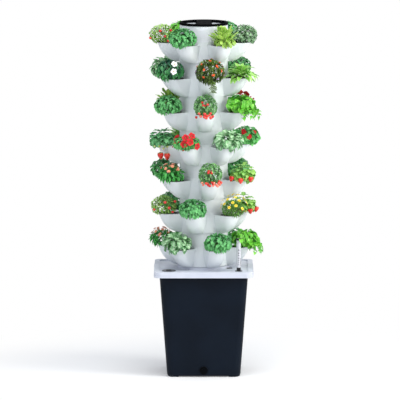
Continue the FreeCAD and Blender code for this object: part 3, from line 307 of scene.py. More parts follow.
SKINS = {
    "mint": leaf_skin("mint_leaf", "#1d6b35", "#74cf78", "#93d891", "#74cf78"),
    "lettuce": leaf_skin("lettuce_leaf", "#5c9a2a", "#a9d355", "#d3e9a0", "#c9e67a", 0.35, rough=0.36),
    "sage": leaf_skin("sage_leaf", "#3f6d45", "#8db886", "#b9d3b4", "#a9caa2", 0.2, rough=0.6),
    "fern": leaf_skin("fine_tomato_leaf", "#4f8f2c", "#a6d266", "#cfe69b", "#a6d266"),
    "balsam": leaf_skin("balsam_leaf", "#0f3c3a", "#4db04e", "#62b672", "#4db04e", rough=0.34),
    "lantana": leaf_skin("lantana_leaf", "#182a0c", "#67872c", "#86a44a", "#67872c", rough=0.55),
    "hosta": leaf_skin("hosta_leaf", "#4a9c34", "#98d860", "#c0e688", "#d4eba4", 0.3, rough=0.36),
    "cherry": leaf_skin("bush_tomato_leaf", "#2f7040", "#86c274", "#a9d698", "#86c274"),
    "pothos": leaf_skin("pothos_leaf", "#0f8a22", "#6fcc34", "#a2e06a", "#8ad84a", 0.2, "#a6dd55", 0.02,
                        rough=0.30),
    "strawberry": leaf_skin("strawberry_leaf", "#2a7c46", "#7cc884", "#a4d8a4", "#7cc884"),
    "pale_strawberry": leaf_skin("young_strawberry_leaf", "#4fa840", "#a9dc68", "#cbe89c", "#a9dc68"),
    "petunia": leaf_skin("petunia_leaf", "#25903d", "#74d06e", "#98da92", "#74d06e"),
    "caladium": leaf_skin("caladium_leaf", "#3f8f4c", "#b2e0aa", "#e2f1da", "#6aae6c", 0.25, "#d3e8c8", 0.06),
    "kalanchoe": leaf_skin("kalanchoe_leaf", "#157a2c", "#5cc85a", "#7ad278", "#5cc85a", rough=0.28),
    "daisy": leaf_skin("daisy_leaf", "#2a6426", "#76b050", "#94c06c", "#76b050"),
    "stem": leaf_skin("green_stem", "#4c7a2e", "#7aa850", "#8ab860", "#7aa850"),
    "sepal": leaf_skin("fruit_sepal", "#2f7a2a", "#5fae45", "#8fc96a", "#5fae45"),
    "white_petal": petal_skin("white_petal", "#e9ecd8", "#f6f7f8"),
    "red_petal": petal_skin("red_petal", "#86060f", "#d3101c"),
    "orange_petal": petal_skin("orange_petal", "#d83a12", "#f2662e"),
    "peach_petal": petal_skin("peach_petal", "#ef7a58", "#f7b190"),
    "yellow_petal": petal_skin("yellow_petal", "#ecc020", "#fbe544"),
    "violet_petal": petal_skin("violet_petal", "#6d4f84", "#9a7fb0"),
    "flower_eye": petal_skin("pollen_eye", "#b8780c", "#e0a81c", 0.8),
    "tomato": fruit_skin("ripe_tomato", "#c40f14", "#e8473c"),
    "blush_tomato": fruit_skin("half_ripe_tomato", "#e24a3c", "#f39a80"),
    "berry": fruit_skin("ripe_strawberry", "#cf0f12", "#e83a28", "#e8c05a"),
    "green_berry": fruit_skin("unripe_berry", "#a8b850", "#cfd58a", "#8f8f3a"),
}

NODE_FINISHES = {
    "reservoir": tank_plastic, "drain_fitting": drain_plastic, "drain_washer": seal_rubber,
    "drain_nut": fitting_plastic, "drain_plug": drain_plastic, "drain_plug_ring": seal_rubber,
    "pump_housing": pump_plastic, "pump_feet": seal_rubber, "pump_cover": pump_plastic,
    "impeller_shaft": steel, "impeller": impeller_plastic, "riser_pipe_lower": pipe_plastic,
    "riser_pipe_upper": pipe_plastic, "riser_coupling": pipe_plastic, "spray_head": pipe_plastic,
    "reservoir_lid": lid_plastic, "gauge_base": fitting_plastic, "gauge_tube": acrylic,
    "gauge_cap": fitting_plastic, "gauge_rod": pointer_plastic, "gauge_float": float_foam,
    "filler_cap": fitting_plastic, "cable_grommet": seal_rubber, "top_cover": cover_plastic,
    "top_cap": cap_plastic,
}
for tier in TIERS:
    NODE_FINISHES[f"tier_{tier}"] = tier_plastic
    NODE_FINISHES[f"drip_tray_{tier}"] = tray_plastic
    NODE_FINISHES[f"net_cups_{tier}"] = cup_plastic
for name, finish in NODE_FINISHES.items():
    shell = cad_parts[name]
    shell.data.materials.clear()
    shell.data.materials.append(finish)


# Outlines of leaves, as shares of the half width from the root to the tip
OUTLINES = {
    "ovate": (0.12, 0.78, 1.0, 0.9, 0.58, 0.25, 0.04),
    "small": (0.15, 0.92, 1.0, 0.6, 0.06),
    "heart": (0.5, 1.0, 0.96, 0.78, 0.52, 0.25, 0.03),
    "lance": (0.2, 0.7, 1.0, 0.85, 0.5, 0.04),
    "blade": (0.16, 0.55, 0.92, 1.0, 0.82, 0.48, 0.05),
    "round": (0.25, 0.8, 1.0, 0.98, 0.75, 0.25),
    "petal": (0.18, 0.55, 0.9, 1.0, 0.78, 0.2),
    "frill": (0.3, 0.55, 0.78, 0.95, 1.0, 0.85, 0.35),
}

# Turned outlines of fruits, as height from the stalk down and radius
FRUITS = {
    "tomato": ((0.06, 0.2), (0.0, 0.55), (0.18, 0.9), (0.5, 1.0), (0.78, 0.82), (0.95, 0.42), (1.0, 0.08)),
    "berry": ((0.05, 0.25), (0.0, 0.7), (0.15, 0.98), (0.38, 1.0), (0.65, 0.74), (0.88, 0.4), (1.0, 0.1)),
    "bud": ((0.0, 0.2), (0.25, 0.8), (0.55, 1.0), (0.85, 0.65), (1.0, 0.12)),
}


def any_side(direction):
    """A level vector across a direction."""
    side = direction.cross(UP)
    return side.normalized() if side.length > 0.05 else Vector((0, 1, 0))


class Plant:
    """Collects the skins of one plant, in millimetres from its cup's centre: x outward, y sideways, z up."""

    def __init__(self, tier):
        self.points, self.marks, self.faces, self.finishes, self.skins = [], [], [], [], []
        self.ceiling = () if tier == 1 else CEILING

    def settle(self, point):
        """Keeps a point off the column, over the pocket's edge, under the tier above and inside the reach."""
        reach = math.hypot(CUP_CENTRE + point.x, point.y)
        kept = max(reach, COLUMN_CLEAR)
        if kept > SPREAD_MOST - SPREAD_EASE:
            kept = SPREAD_MOST - SPREAD_EASE * math.exp((SPREAD_MOST - SPREAD_EASE - kept) / SPREAD_EASE)
        x = (CUP_CENTRE + point.x) * kept / reach - CUP_CENTRE
        y = point.y * kept / reach
        top = OPEN_CEILING
        for (near, low), (far, high) in zip(self.ceiling, self.ceiling[1:]):
            if near <= kept < far:
                top = low + (high - low) * (kept - near) / (far - near)
        z = point.z
        over_pocket = x < POCKET_TIP and abs(y) < POCKET_SIDE
        if over_pocket and math.hypot(x, y) > STEM_ROOM:
            z = max(z, FLANGE_TOP)
        if z > top - CEILING_EASE:
            z = top - CEILING_EASE * math.exp((top - CEILING_EASE - z) / CEILING_EASE)
        return Vector((x, y, z))

    def skin(self, loops, finish, tone):
        """Closed skin through loops of (point, share across)."""
        if finish not in self.skins:
            self.skins.append(finish)
        number, first, size = self.skins.index(finish), len(self.points), len(loops[0])
        for step, loop in enumerate(loops):
            for point, across in loop:
                self.points.append(self.settle(point))
                self.marks.append((tone, across, step / (len(loops) - 1)))
        made = []
        for step in range(len(loops) - 1):
            low = first + step * size
            for spot in range(size):
                following = (spot + 1) % size
                made.append((low + spot, low + following, low + size + following, low + size + spot))
        made.append(tuple(range(first + size - 1, first - 1, -1)))
        last = first + (len(loops) - 1) * size
        made.append(tuple(range(last, last + size)))
        self.faces += made
        self.finishes += [number] * len(made)

    def leaf(self, root, heading, length, width, finish, tone, outline="ovate", droop=50.0, fold=0.3,
             ruffle=0.0, roll=0.0, columns=3, thickness=0.5):
        """One leaf or petal: a thin closed blade that bends down along its length and folds at its midrib."""
        shares = OUTLINES[outline]
        heading = heading.normalized()
        side = any_side(heading)
        side.rotate(Quaternion(heading, math.radians(roll)))
        bend = Quaternion(side, -math.radians(droop) / (len(shares) - 1))
        point, loops, phase = root.copy(), [], rng.uniform(0, 6.3)
        for row, share in enumerate(shares):
            face = side.cross(heading)
            half = width / 2 * share
            top = []
            for column in range(columns):
                across = 2 * column / (columns - 1) - 1
                lift = abs(across) * (fold * half + ruffle * width * math.sin(phase + row * 2.2 + across))
                top.append((point + side * (across * half) + face * lift, abs(across)))
            under = [(spot - face * thickness, across) for spot, across in reversed(top[1:-1])]
            loops.append(top + under)
            point = point + heading * (length / (len(shares) - 1))
            heading.rotate(bend)
        self.skin(loops, finish, tone)
        return point

    def stem(self, path, radius, finish="stem", tone=0.5, sides=5):
        """Round stalk along a path, thinner towards its end."""
        loops = []
        for step, point in enumerate(path):
            ahead = (path[min(step + 1, len(path) - 1)] - path[max(step - 1, 0)]).normalized()
            side = any_side(ahead)
            face = side.cross(ahead)
            slim = radius * (1 - 0.4 * step / (len(path) - 1))
            turns = [math.tau * spot / sides for spot in range(sides)]
            loops.append([(point + (side * math.cos(t) + face * math.sin(t)) * slim, 0.5) for t in turns])
        self.skin(loops, finish, tone)

    def turned(self, top, axis, length, radius, finish, tone, outline, sides=10):
        """A fruit, bud or flower's eye, turned about its own axis."""
        axis = axis.normalized()
        side = any_side(axis)
        face = side.cross(axis)
        loops = []
        for down, share in FRUITS[outline]:
            centre = top + axis * (length * down)
            turns = [math.tau * spot / sides for spot in range(sides)]
            wide = radius * share
            loops.append([(centre + (side * math.cos(t) + face * math.sin(t)) * wide, 0.5) for t in turns])
        self.skin(loops, finish, tone)

    def fruit(self, top, radius, finish, outline="tomato", length=None, axis=None):
        """A fruit that hangs from its stalk, with five sepals."""
        axis = (axis or Vector((rng.uniform(-0.2, 0.2), rng.uniform(-0.2, 0.2), -1))).normalized()
        self.turned(top, axis, length or radius * 1.8, radius, finish, rng.random(), outline)
        side = any_side(axis)
        for step in range(5):
            out = side.copy()
            out.rotate(Quaternion(axis, math.tau * step / 5))
            self.leaf(top - axis * 0.4, out + axis * 0.2, radius * 1.0, radius * 0.45, "sepal", rng.random(),
                      "small", droop=-20, fold=0.1)

    def bloom(self, centre, facing, petals, length, width, finish, eye="flower_eye", eye_radius=2.0,
              outline="petal", droop=25.0):
        """An open flower: a ring of petals round an eye."""
        facing = facing.normalized()
        side = any_side(facing)
        start = rng.uniform(0, math.tau)
        for step in range(petals):
            out = side.copy()
            out.rotate(Quaternion(facing, start + math.tau * step / petals))
            across = facing.cross(out)
            heading = out + facing * 0.35
            roll = math.degrees(any_side(heading).angle(across))
            if any_side(heading).cross(across).dot(heading) < 0:
                roll = -roll
            self.leaf(centre, heading, length, width, finish, rng.random(), outline, droop=droop, fold=0.12,
                      ruffle=0.03, roll=roll + 180, columns=5, thickness=0.35)
        eye_top = centre + facing * eye_radius * 0.9
        self.turned(eye_top, -facing, eye_radius * 1.2, eye_radius, eye, 0.5, "bud", 8)

    def spots(self, count, lowest=-0.55):
        """Directions spread evenly over a dome, from just under its waist to its top."""
        start = rng.uniform(0, math.tau)
        for step in range(count):
            height = lowest + (1 - lowest) * (step + 0.5) / count
            turn = start + step * GOLDEN_TURN + rng.uniform(-0.3, 0.3)
            flat = math.sqrt(max(0.0, 1 - height * height))
            yield Vector((flat * math.cos(turn), flat * math.sin(turn), height))

    def crown(self, count, length, width, finish, outline="small", semi=(50, 50, 36), middle=(19, 0, 27),
              droop=30.0, lie=0.9, lowest=-0.95, wild=0.3, fold=0.25, light=(1.0, 0.4), ruffle=0.0,
              columns=3):
        """Leaves that overlap like shingles all over a ball, and a layer inside it painted darker as painted
        shade.
        """
        semi, middle = Vector(semi), Vector(middle)
        for layer, (share, number) in enumerate(((1.0, count), (0.76, count // 2))):
            for spot in self.spots(number, lowest):
                size = rng.uniform(0.8, 1.2)
                down = spot * spot.z - UP
                stray = Vector([rng.uniform(-wild, wild) for axis in range(3)])
                heading = (spot * 0.6 + down * lie + stray).normalized()
                out = Vector((spot.x * semi.x, spot.y * semi.y, spot.z * semi.z))
                root = middle + out * share * rng.uniform(0.92, 1.02) - heading * (length * size * 0.6)
                tone = light[0] + (light[1] - light[0]) * (0.5 + 0.5 * spot.z)
                # Painted shade: leaves of the inner layer take a darker tone (times 0.3)
                tone = min(1.0, tone * rng.uniform(0.45, 1.15)) * (0.3 if layer else 1.0)
                self.leaf(root, heading, length * size, width * size, finish, tone, outline,
                          droop=rng.uniform(0.4, 1.4) * droop, fold=fold, roll=rng.uniform(-30, 30),
                          ruffle=ruffle, columns=columns)
        self.stalks(semi, middle)

    def stalks(self, semi, middle, count=9):
        """Main stalks that carry the crown, from the plug outward."""
        for spot in self.spots(count, 0.15):
            end = middle + Vector((spot.x * semi.x, spot.y * semi.y, spot.z * semi.z)) * 0.8
            bow = Vector((spot.x, spot.y, 0)) * -4
            self.stem([Vector((spot.x, spot.y, -4)), end * 0.5 + bow, end], 1.3, "stem", 0.3)

    def rosette(self, count, length, width, finish, outline, rise=(25, 80), droop=60.0, fold=0.3, ruffle=0.0,
                columns=5, light=(0.2, 1.0), lean=6.0, slim=0.35, spread=(0.75, 1.1)):
        """Leaves that all rise from the plug and arch outward, each on its own stalk."""
        for step in range(count):
            share = (step + 0.5) / count
            turn = step * GOLDEN_TURN + rng.uniform(-0.3, 0.3)
            lift = math.radians(rise[0] + (rise[1] - rise[0]) * share + rng.uniform(-6, 6))
            flat = math.cos(lift)
            heading = Vector((math.cos(turn) * flat, math.sin(turn) * flat, math.sin(lift)))
            size = rng.uniform(*spread)
            root = Vector((lean + 3 * heading.x, 3 * heading.y, -3))
            stalk = length * slim * size
            foot = root + heading * stalk + UP * 3
            self.stem([root, root + heading * stalk * 0.5 + UP * 2, foot], 1.2, "stem", 0.6)
            tone = light[0] + (light[1] - light[0]) * (0.25 + 0.75 * rng.random())
            self.leaf(foot, heading + UP * 0.1, length * size, width * size, finish, tone, outline,
                      droop=droop * rng.uniform(0.7, 1.3), fold=fold, ruffle=ruffle, columns=columns)

    def trefoil(self, centre, heading, size, finish, tone):
        """A strawberry's leaf of three broad leaflets."""
        side = any_side(heading)
        for turn in (-62, 0, 62):
            out = heading.copy()
            out.rotate(Quaternion(side.cross(heading).normalized(), math.radians(turn)))
            self.leaf(centre, out, size, size * 0.86, finish, tone * rng.uniform(0.8, 1.1), "round",
                      droop=38, fold=0.22, ruffle=0.035, columns=5)


# The plants, each as it grows from its cup


def grow_mint(plant):
    plant.crown(250, 14, 10.5, "mint", wild=0.4)


def grow_sage(plant):
    plant.crown(200, 15, 10, "sage", semi=(45, 44, 36), middle=(15, 0, 27), wild=0.6, lie=0.3,
                light=(0.5, 1.0))


def grow_lettuce(plant):
    plant.rosette(46, 60, 22, "lettuce", "frill", rise=(28, 88), droop=24, ruffle=0.12, slim=0.2)
    plant.crown(60, 17, 12, "lettuce", "frill", semi=(34, 38, 20), middle=(18, 0, 12), ruffle=0.1,
                light=(0.9, 0.5))


def grow_fern(plant):
    plant.crown(380, 9, 5.5, "fern", semi=(47, 45, 37), middle=(16, 0, 28), wild=0.8, lie=0.3,
                light=(0.7, 1.0))
    for spot in ((24, 43, 50), (-14, 43, 52), (8, 48, 30), (-4, 47, 14), (60, 26, 22), (20, -47, 30)):
        plant.fruit(Vector(spot), rng.uniform(4.6, 6.0), "tomato")


def grow_balsam(plant):
    plant.crown(190, 18, 10, "balsam", "ovate", semi=(49, 52, 39), middle=(20, 0, 30), wild=0.5,
                light=(1.0, 0.0))
    for spot in ((34, 41, 58), (42, 48, 33), (10, -42, 44)):
        centre = Vector(spot)
        plant.bloom(centre, centre - Vector((22, 0, 30)), 5, 12.0, 12.0, "white_petal", outline="round")


def grow_lantana(plant):
    semi, middle = Vector((46, 51, 47)), Vector((25, 0, 32))
    plant.crown(420, 13, 7, "lantana", semi=semi, middle=middle, wild=0.7, lie=0.5, light=(0.3, 0.8))
    for spot in plant.spots(20, -0.5):
        centre = middle + Vector((spot.x * semi.x, spot.y * semi.y, spot.z * semi.z)) * 1.02
        petal = "orange_petal" if rng.random() < 0.75 else "violet_petal"
        for cluster in range(4):
            near = centre + Vector([rng.uniform(-2.8, 2.8) for axis in range(3)])
            plant.bloom(near, spot, 5, 3.6, 3.0, petal, eye_radius=0.8)
    for sway in (-5, 1, 6):
        trail(plant, Vector((60, sway, 4)), Vector((0.7, 0.1, -0.1)), 56, 18, 11, 8, "lantana",
              light=(0.0, 0.7))


def trail(plant, start, heading, length, count, leaf, width, finish, outline="small", light=(0.2, 1.0),
          fall=0.38):
    """A runner that leaves the pocket, falls over its rim and carries leaves on both sides."""
    path, point, heading = [start.copy()], start.copy(), heading.normalized()
    steps = 8
    for step in range(steps):
        point = point + heading * (length / steps)
        heading = (heading + Vector((0, rng.uniform(-0.12, 0.12), -fall))).normalized()
        path.append(point.copy())
    plant.stem(path, 1.0, "stem", 0.5)
    for number in range(count):
        share = (number + 1) / (count + 1) * (len(path) - 1)
        low = int(share)
        spot = path[low].lerp(path[min(low + 1, len(path) - 1)], share - low)
        side = 1 if number % 2 else -1
        out = Vector((rng.uniform(0.0, 0.7), side * rng.uniform(0.5, 1.0), rng.uniform(-0.5, 0.2)))
        plant.leaf(spot, out, leaf * rng.uniform(0.8, 1.15), width * rng.uniform(0.85, 1.1), finish,
                   rng.uniform(*light), outline, droop=55, roll=rng.uniform(-30, 30))


def grow_hosta(plant):
    plant.rosette(60, 46, 22, "hosta", "blade", rise=(-6, 84), droop=72, fold=0.28, slim=0.4,
                  light=(0.5, 1.0), lean=12)
    for sway in (-0.5, -0.1, 0.35):
        root = Vector((26, 26 * sway, 12))
        plant.leaf(root, Vector((1, sway, 0.5)), 62, 17, "hosta", 1.0, "blade", droop=125, fold=0.25,
                   columns=5)


def grow_cherry(plant):
    plant.crown(300, 12, 7, "cherry", semi=(43, 42, 42), middle=(18, 0, 32), wild=0.6, lie=0.5,
                light=(0.8, 0.8))
    for step in range(17):
        turn = rng.uniform(-1.1, 1.1)
        top = Vector((22 + 43 * math.cos(turn), 41 * math.sin(turn), rng.uniform(-2, 16)))
        plant.fruit(top, rng.uniform(4.4, 5.8), "tomato" if rng.random() < 0.6 else "blush_tomato")
    for step in range(4):
        top = Vector((rng.uniform(52, 62), rng.uniform(-14, 8), rng.uniform(38, 54)))
        plant.fruit(top, rng.uniform(4.4, 5.4), "tomato")


def grow_pothos(plant):
    plant.crown(90, 25, 19, "pothos", "heart", droop=50, wild=0.4, columns=5, light=(0.8, 0.6))
    for turn, length, count in ((-0.9, 66, 9), (-0.4, 70, 10), (0.0, 62, 9), (0.4, 74, 11), (0.9, 62, 9)):
        start = Vector((20 + 20 * math.cos(turn), 26 * math.sin(turn), 16))
        heading = Vector((math.cos(turn), math.sin(turn), 0.45))
        trail(plant, start, heading, length, count, 23, 17, "pothos", "heart")
    trail(plant, Vector((12, -36, 30)), Vector((0.1, -1, 0.3)), 72, 9, 22, 16, "pothos", "heart", fall=0.06)


def grow_strawberry(plant, finish="strawberry", leaf=25, berry=11.5, ripe=((30, 48, -24), (5, 48, -26)),
                    green=((32, 42, 2), (17, 46, -6), (4, 42, 0), (48, 32, 2), (41, -36, 4))):
    """A low bush of trefoils, whose fruits hang on their own stalks at the places given."""
    plant.crown(46, 20, 17, finish, "round", semi=(44, 42, 20), middle=(14, 0, 10), light=(0.7, 0.5))
    for spot in plant.spots(24, -0.4):
        heading = spot * 0.5 + (spot * spot.z - UP) * 0.8
        root = Vector((5 + 3 * spot.x, 3 * spot.y, -3))
        end = Vector((18, 0, 22)) + Vector((spot.x * 38, spot.y * 42, spot.z * 32)) * rng.uniform(0.8, 1.0)
        plant.stem([root, root.lerp(end, 0.5) + UP * 5, end], 1.1)
        plant.trefoil(end, heading, leaf * rng.uniform(0.85, 1.1), finish, rng.uniform(0.3, 1.0))
    fruits = ((ripe, berry, berry * 2.2, "berry"), (green, 4.5, 8.0, "green_berry"))
    for spots, radius, length, skin in fruits:
        for spot in spots:
            end = Vector(spot)
            out = Vector((end.x * 0.97, end.y, max(end.z, 0) + 8))
            plant.stem([Vector((5, 0, -2)), Vector((end.x * 0.6, end.y * 0.6, 20)), out, end], 0.8)
            plant.fruit(end, radius, skin, "berry", length)


def grow_young_strawberry(plant):
    grow_strawberry(plant, "pale_strawberry", 21, 9.5, ripe=((-6, -47, 18), (28, -47, 12), (59, -24, 16)),
                    green=((44, -37, 12), (12, -47, 6), (30, 44, 8)))


def grow_petunia(plant):
    plant.crown(200, 15, 9, "petunia", "ovate", semi=(50, 50, 27), middle=(18, 0, 19), wild=0.5,
                light=(0.9, 0.5))
    spots = ((42, 32, 50), (64, 12, 22), (61, 34, 30), (42, 52, 14), (60, 16, 44), (4, -42, 34),
             (44, -34, 26))
    for spot in spots:
        centre = Vector(spot)
        facing = centre - Vector((22, 0, 22))
        plant.bloom(centre, facing, 5, 14, 14.5, "red_petal", outline="round", eye_radius=1.8)
    for step in range(6):
        turn = rng.uniform(-1.4, 1.4)
        end = Vector((22 + 50 * math.cos(turn), 52 * math.sin(turn), rng.uniform(0, 44)))
        plant.stem([Vector((14, 0, 14)), end], 0.5)
        plant.turned(end, Vector((0, 0, -1)), 5, 2.8, "red_petal", 0.4, "bud", 8)


def grow_geranium(plant):
    plant.crown(130, 16, 14, "petunia", "round", wild=0.4, light=(0.9, 0.4))
    for spot in ((52, -18, 42), (56, 16, 32), (20, 36, 40), (10, -40, 48), (26, -45, 30)):
        centre = Vector(spot)
        for step in range(5):
            near = centre + Vector([rng.uniform(-4, 4) for axis in range(3)])
            plant.bloom(near, near - Vector((22, 0, 22)), 5, 7.5, 7.0, "red_petal", eye_radius=1.0)


def grow_caladium(plant):
    plant.crown(74, 25, 21, "caladium", "round", semi=(50, 54, 37), middle=(18, 0, 26), lie=0.35, droop=45,
                fold=0.2, ruffle=0.04, light=(0.2, 0.85), columns=5)


def grow_kalanchoe(plant):
    plant.crown(150, 20, 9, "kalanchoe", "ovate", semi=(48, 46, 31), middle=(18, 0, 24), wild=0.35,
                lie=0.25, fold=0.35, light=(0.9, 0.4))
    for spot in plant.spots(12, 0.35):
        centre = Vector((22 + 40 * spot.x, 40 * spot.y, 27 + 37 * spot.z))
        for step in range(5):
            near = centre + Vector([rng.uniform(-3.5, 3.5) for axis in range(3)])
            plant.bloom(near, spot, 4, 5.0, 4.2, "peach_petal", eye_radius=0.9)


def grow_daisy(plant):
    plant.crown(420, 11, 4, "daisy", "lance", semi=(41, 40, 34), middle=(16, 0, 24), wild=0.7, lie=0.2,
                light=(0.8, 0.9))
    for spot in plant.spots(24, 0.0):
        end = Vector((22 + 48 * spot.x, 50 * spot.y, 28 + 52 * spot.z))
        plant.stem([Vector((16 + 8 * spot.x, 8 * spot.y, 12)), end * 0.6 + UP * 6, end], 0.5)
        plant.bloom(end, spot + UP * 0.4, 9, 6.5, 3.4, "yellow_petal", eye_radius=2.2, outline="petal")


GROWERS = {
    "mint": grow_mint,
    "sage": grow_sage,
    "lettuce": grow_lettuce,
    "fine_tomato": grow_fern,
    "balsam": grow_balsam,
    "lantana": grow_lantana,
    "hosta": grow_hosta,
    "bush_tomato": grow_cherry,
    "pothos": grow_pothos,
    "strawberry": grow_strawberry,
    "young_strawberry": grow_young_strawberry,
    "petunia": grow_petunia,
    "geranium": grow_geranium,
    "caladium": grow_caladium,
    "kalanchoe": grow_kalanchoe,
    "daisy": grow_daisy,
}

# What grows in each tier, from its first pocket round against the clock as seen from above
PLANTING = (
    ("lettuce", "sage", "mint", "pothos", "fine_tomato", "mint"),
    ("lantana", "hosta", "mint", "strawberry", "caladium", "balsam"),
    ("bush_tomato", "pothos", "petunia", "mint", "lettuce", "mint"),
    ("petunia", "caladium", "geranium", "mint", "hosta", "strawberry"),
    ("bush_tomato", "young_strawberry", "mint", "lettuce", "mint", "kalanchoe"),
    ("mint", "daisy", "young_strawberry", "petunia", "mint", "fine_tomato"),
    ("mint", "pothos", "strawberry", "mint", "kalanchoe", "caladium"),
)


def new_piece(name, points, faces, finishes, skins, marks=None, sharp=50.0):
    """Makes a mesh object from points in metres."""
    mesh = bpy.data.meshes.new(name)
    mesh.from_pydata(points, [], faces)
    for skin in skins:
        mesh.materials.append(skin)
    mesh.polygons.foreach_set("material_index", finishes)
    if marks:
        for number, mark in enumerate(("tone", "across", "along")):
            layer = mesh.attributes.new(mark, "FLOAT", "POINT")
            layer.data.foreach_set("value", [values[number] for values in marks])
    mesh.polygons.foreach_set("use_smooth", [True] * len(faces))
    mesh.set_sharp_from_angle(angle=math.radians(sharp))
    mesh.update()
    made = bpy.data.objects.new(name, mesh)
    bpy.context.scene.collection.objects.link(made)
    return made


def pocket_frame(tier, pocket):
    """From a cup's own millimetres to the tower's metres."""
    turn = math.radians(TURNS[tier - 1] - 90 + 360 / POCKETS * pocket)
    up = Matrix.Translation((0, 0, rim_of_tier(tier)))
    spin = Matrix.Rotation(turn, 4, "Z")
    return Matrix.Scale(MM, 4) @ up @ spin @ Matrix.Translation((CUP_CENTRE, 0, 0))


def plant_tower():
    """Grows every plant in its cup."""
    for tier, row in zip(TIERS, PLANTING):
        for pocket, kind in enumerate(row):
            plant = Plant(tier)
            GROWERS[kind](plant)
            place = pocket_frame(tier, pocket)
            points = [place @ point for point in plant.points]
            skins = [SKINS[name] for name in plant.skins]
            name = f"{kind}_tier{tier}_pocket{pocket + 1}"
            made = new_piece(name, points, plant.faces, plant.finishes, skins, plant.marks)
            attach(made, body_of_tier(tier))
            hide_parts(f"plants_{tier}")


def fill_plugs():
    """The foam plugs in the cups, each with a domed, uneven top."""
    foot, top = -33.1, -2.0
    rings = ((foot, 8.2), (foot + 1.5, 9.5), (foot * 0.5, 17.2), (top - 2.5, 23.8), (top - 0.4, 24.6),
             (top, 22.0), (top + 0.4, 12.0), (top + 0.6, 3.0))
    sides = 24
    for tier in TIERS:
        points, faces = [], []
        for pocket in range(POCKETS):
            place = pocket_frame(tier, pocket)
            first = len(points)
            for height, radius in rings:
                for spot in range(sides):
                    turn = math.tau * spot / sides
                    wide = radius * rng.uniform(0.985, 1.0)
                    level = height + rng.uniform(-0.25, 0.0)
                    points.append(place @ Vector((wide * math.cos(turn), wide * math.sin(turn), level)))
            for step in range(len(rings) - 1):
                low = first + step * sides
                for spot in range(sides):
                    following = (spot + 1) % sides
                    faces.append((low + spot, low + following, low + sides + following, low + sides + spot))
            faces.append(tuple(range(first + sides - 1, first - 1, -1)))
            faces.append(tuple(range(len(points) - sides, len(points))))
        made = new_piece(f"foam_plugs_tier{tier}", points, faces, [0] * len(faces), [foam])
        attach(made, body_of_tier(tier))
        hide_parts(f"sponge_plugs_{tier}")


def print_gauge():
    """Level marks printed down the front of the gauge's tube, and a thin dark line of small dots beside them.
    """
    gauge_x, gauge_y, radius = 126.0, -118.0, 8.2
    points, faces = [], []
    sides = 12

    def dot(height, size, turn_at):
        first = len(points)
        for lift in (0.02, 0.18):
            for spot in range(sides):
                turn = math.tau * spot / sides
                swing = turn_at + size * math.cos(turn) / radius
                reach = radius + lift
                points.append(
                    Vector((gauge_x + reach * math.sin(swing), gauge_y - reach * math.cos(swing),
                            height + size * math.sin(turn))) * MM
                )
        for spot in range(sides):
            following = (spot + 1) % sides
            faces.append((first + spot, first + following, first + sides + following, first + sides + spot))
        faces.append(tuple(range(first + sides - 1, first - 1, -1)))
        faces.append(tuple(range(first + sides, first + 2 * sides)))

    for height, size in ((462, 2.4), (451, 2.1), (443, 1.9), (433, 1.7), (425, 1.5), (418, 1.3), (410, 1.2)):
        dot(height, size, 0.0)
    # A thin dark line of 30 small dots, round the tube to the right of the marks
    for step in range(30):
        dot(404 + step, 0.6, 0.95)
    made = new_piece("gauge_marks", points, faces, [0] * len(faces), [gauge_marking])
    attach(made, "lid")


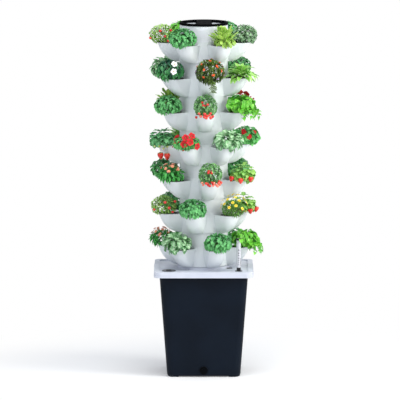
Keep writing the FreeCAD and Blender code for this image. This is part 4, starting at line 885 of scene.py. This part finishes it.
def light_and_floor():
    """A plain pale floor that turns to white away from the tower, soft lamps and a plain world."""
    floor_mesh = bpy.data.meshes.new("studio_floor")
    half = 9.0
    corners = [(-half, -half, 0), (half, -half, 0), (half, half, 0), (-half, half, 0)]
    floor_mesh.from_pydata(corners, [], [(0, 1, 2, 3)])
    floor = bpy.data.objects.new("studio_floor", floor_mesh)
    bpy.context.scene.collection.objects.link(floor)
    made = bpy.data.materials.new("matte_white_paint")
    made.use_nodes = True
    tree = made.node_tree
    tree.nodes.clear()
    looked_at = add(tree, "most", add(tree, "seen"), add(tree, "mirrored"))
    looked_at = add(tree, "most", looked_at, add(tree, "looked through"))
    away = add(tree, "length", add(tree, "place"))
    white = add(tree, "ease", away, 0.45, 1.1, 0.15, 1.0)
    paint = add(tree, "paint", "#f8f8f8")
    glow = add(tree, "glow", "#ffffff", 1.0)
    add(tree, "surface", add(tree, "blend", add(tree, "times", white, looked_at), paint, glow))
    floor.data.materials.append(made)
    floor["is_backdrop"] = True

    world = bpy.data.worlds.new("studio_air")
    bpy.context.scene.world = world
    world.use_nodes = True
    tree = world.node_tree
    tree.nodes.clear()
    fill, backdrop = add(tree, "air", "#eef2fa", 0.70), add(tree, "air", "#ffffff", 1.0)
    add(tree, "sky", add(tree, "blend", add(tree, "seen"), fill, backdrop))

    lamps = (
        ("key_softbox", (3.2, -1.7, 2.1), 1.8, 98.0, "#fffdf8"),
        ("top_softbox", (0.2, -1.5, 3.3), 2.0, 46.0, "#ffffff"),
        ("fill_softbox", (-2.2, -3.2, 2.0), 2.4, 14.0, "#f2f6ff"),
        ("back_softbox", (0.6, 3.2, 2.6), 2.2, 12.0, "#ffffff"),
    )
    for name, spot, size, power, shade in lamps:
        lamp = bpy.data.lights.new(name, "AREA")
        lamp.shape = "DISK"
        lamp.size = size
        lamp.energy = power
        lamp.color = linear(shade)[:3]
        holder = bpy.data.objects.new(name, lamp)
        holder.location = spot
        aim = Vector((0, 0, 0.65)) - Vector(spot)
        holder.rotation_mode = "QUATERNION"
        holder.rotation_quaternion = aim.to_track_quat("-Z", "Y")
        bpy.context.scene.collection.objects.link(holder)


def set_camera():
    """The photo's view: level with the upper tank, from far off, a little from above."""
    distance, elevation = 24.0, math.radians(7.5)
    aim = Vector((-0.0135, 0.0, 0.628))
    picture_height = 1.448
    lens = bpy.data.cameras.new("camera")
    lens.sensor_width = 36.0
    lens.lens = lens.sensor_width * distance / picture_height
    lens.clip_end = 200.0
    holder = bpy.data.objects.new("camera", lens)
    back = Vector((0.0, -math.cos(elevation), math.sin(elevation)))
    holder.location = aim + back * distance
    holder.rotation_mode = "QUATERNION"
    holder.rotation_quaternion = (-back).to_track_quat("-Z", "Y")
    bpy.context.scene.collection.objects.link(holder)
    bpy.context.scene.camera = holder


set_camera()
light_and_floor()
plant_tower()
fill_plugs()
print_gauge()
bpy.context.scene.view_settings.view_transform = "Standard"

boxes = {"cad": cad_box, "visual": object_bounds()}
{name: [list(corner) for corner in box] for name, box in boxes.items()}
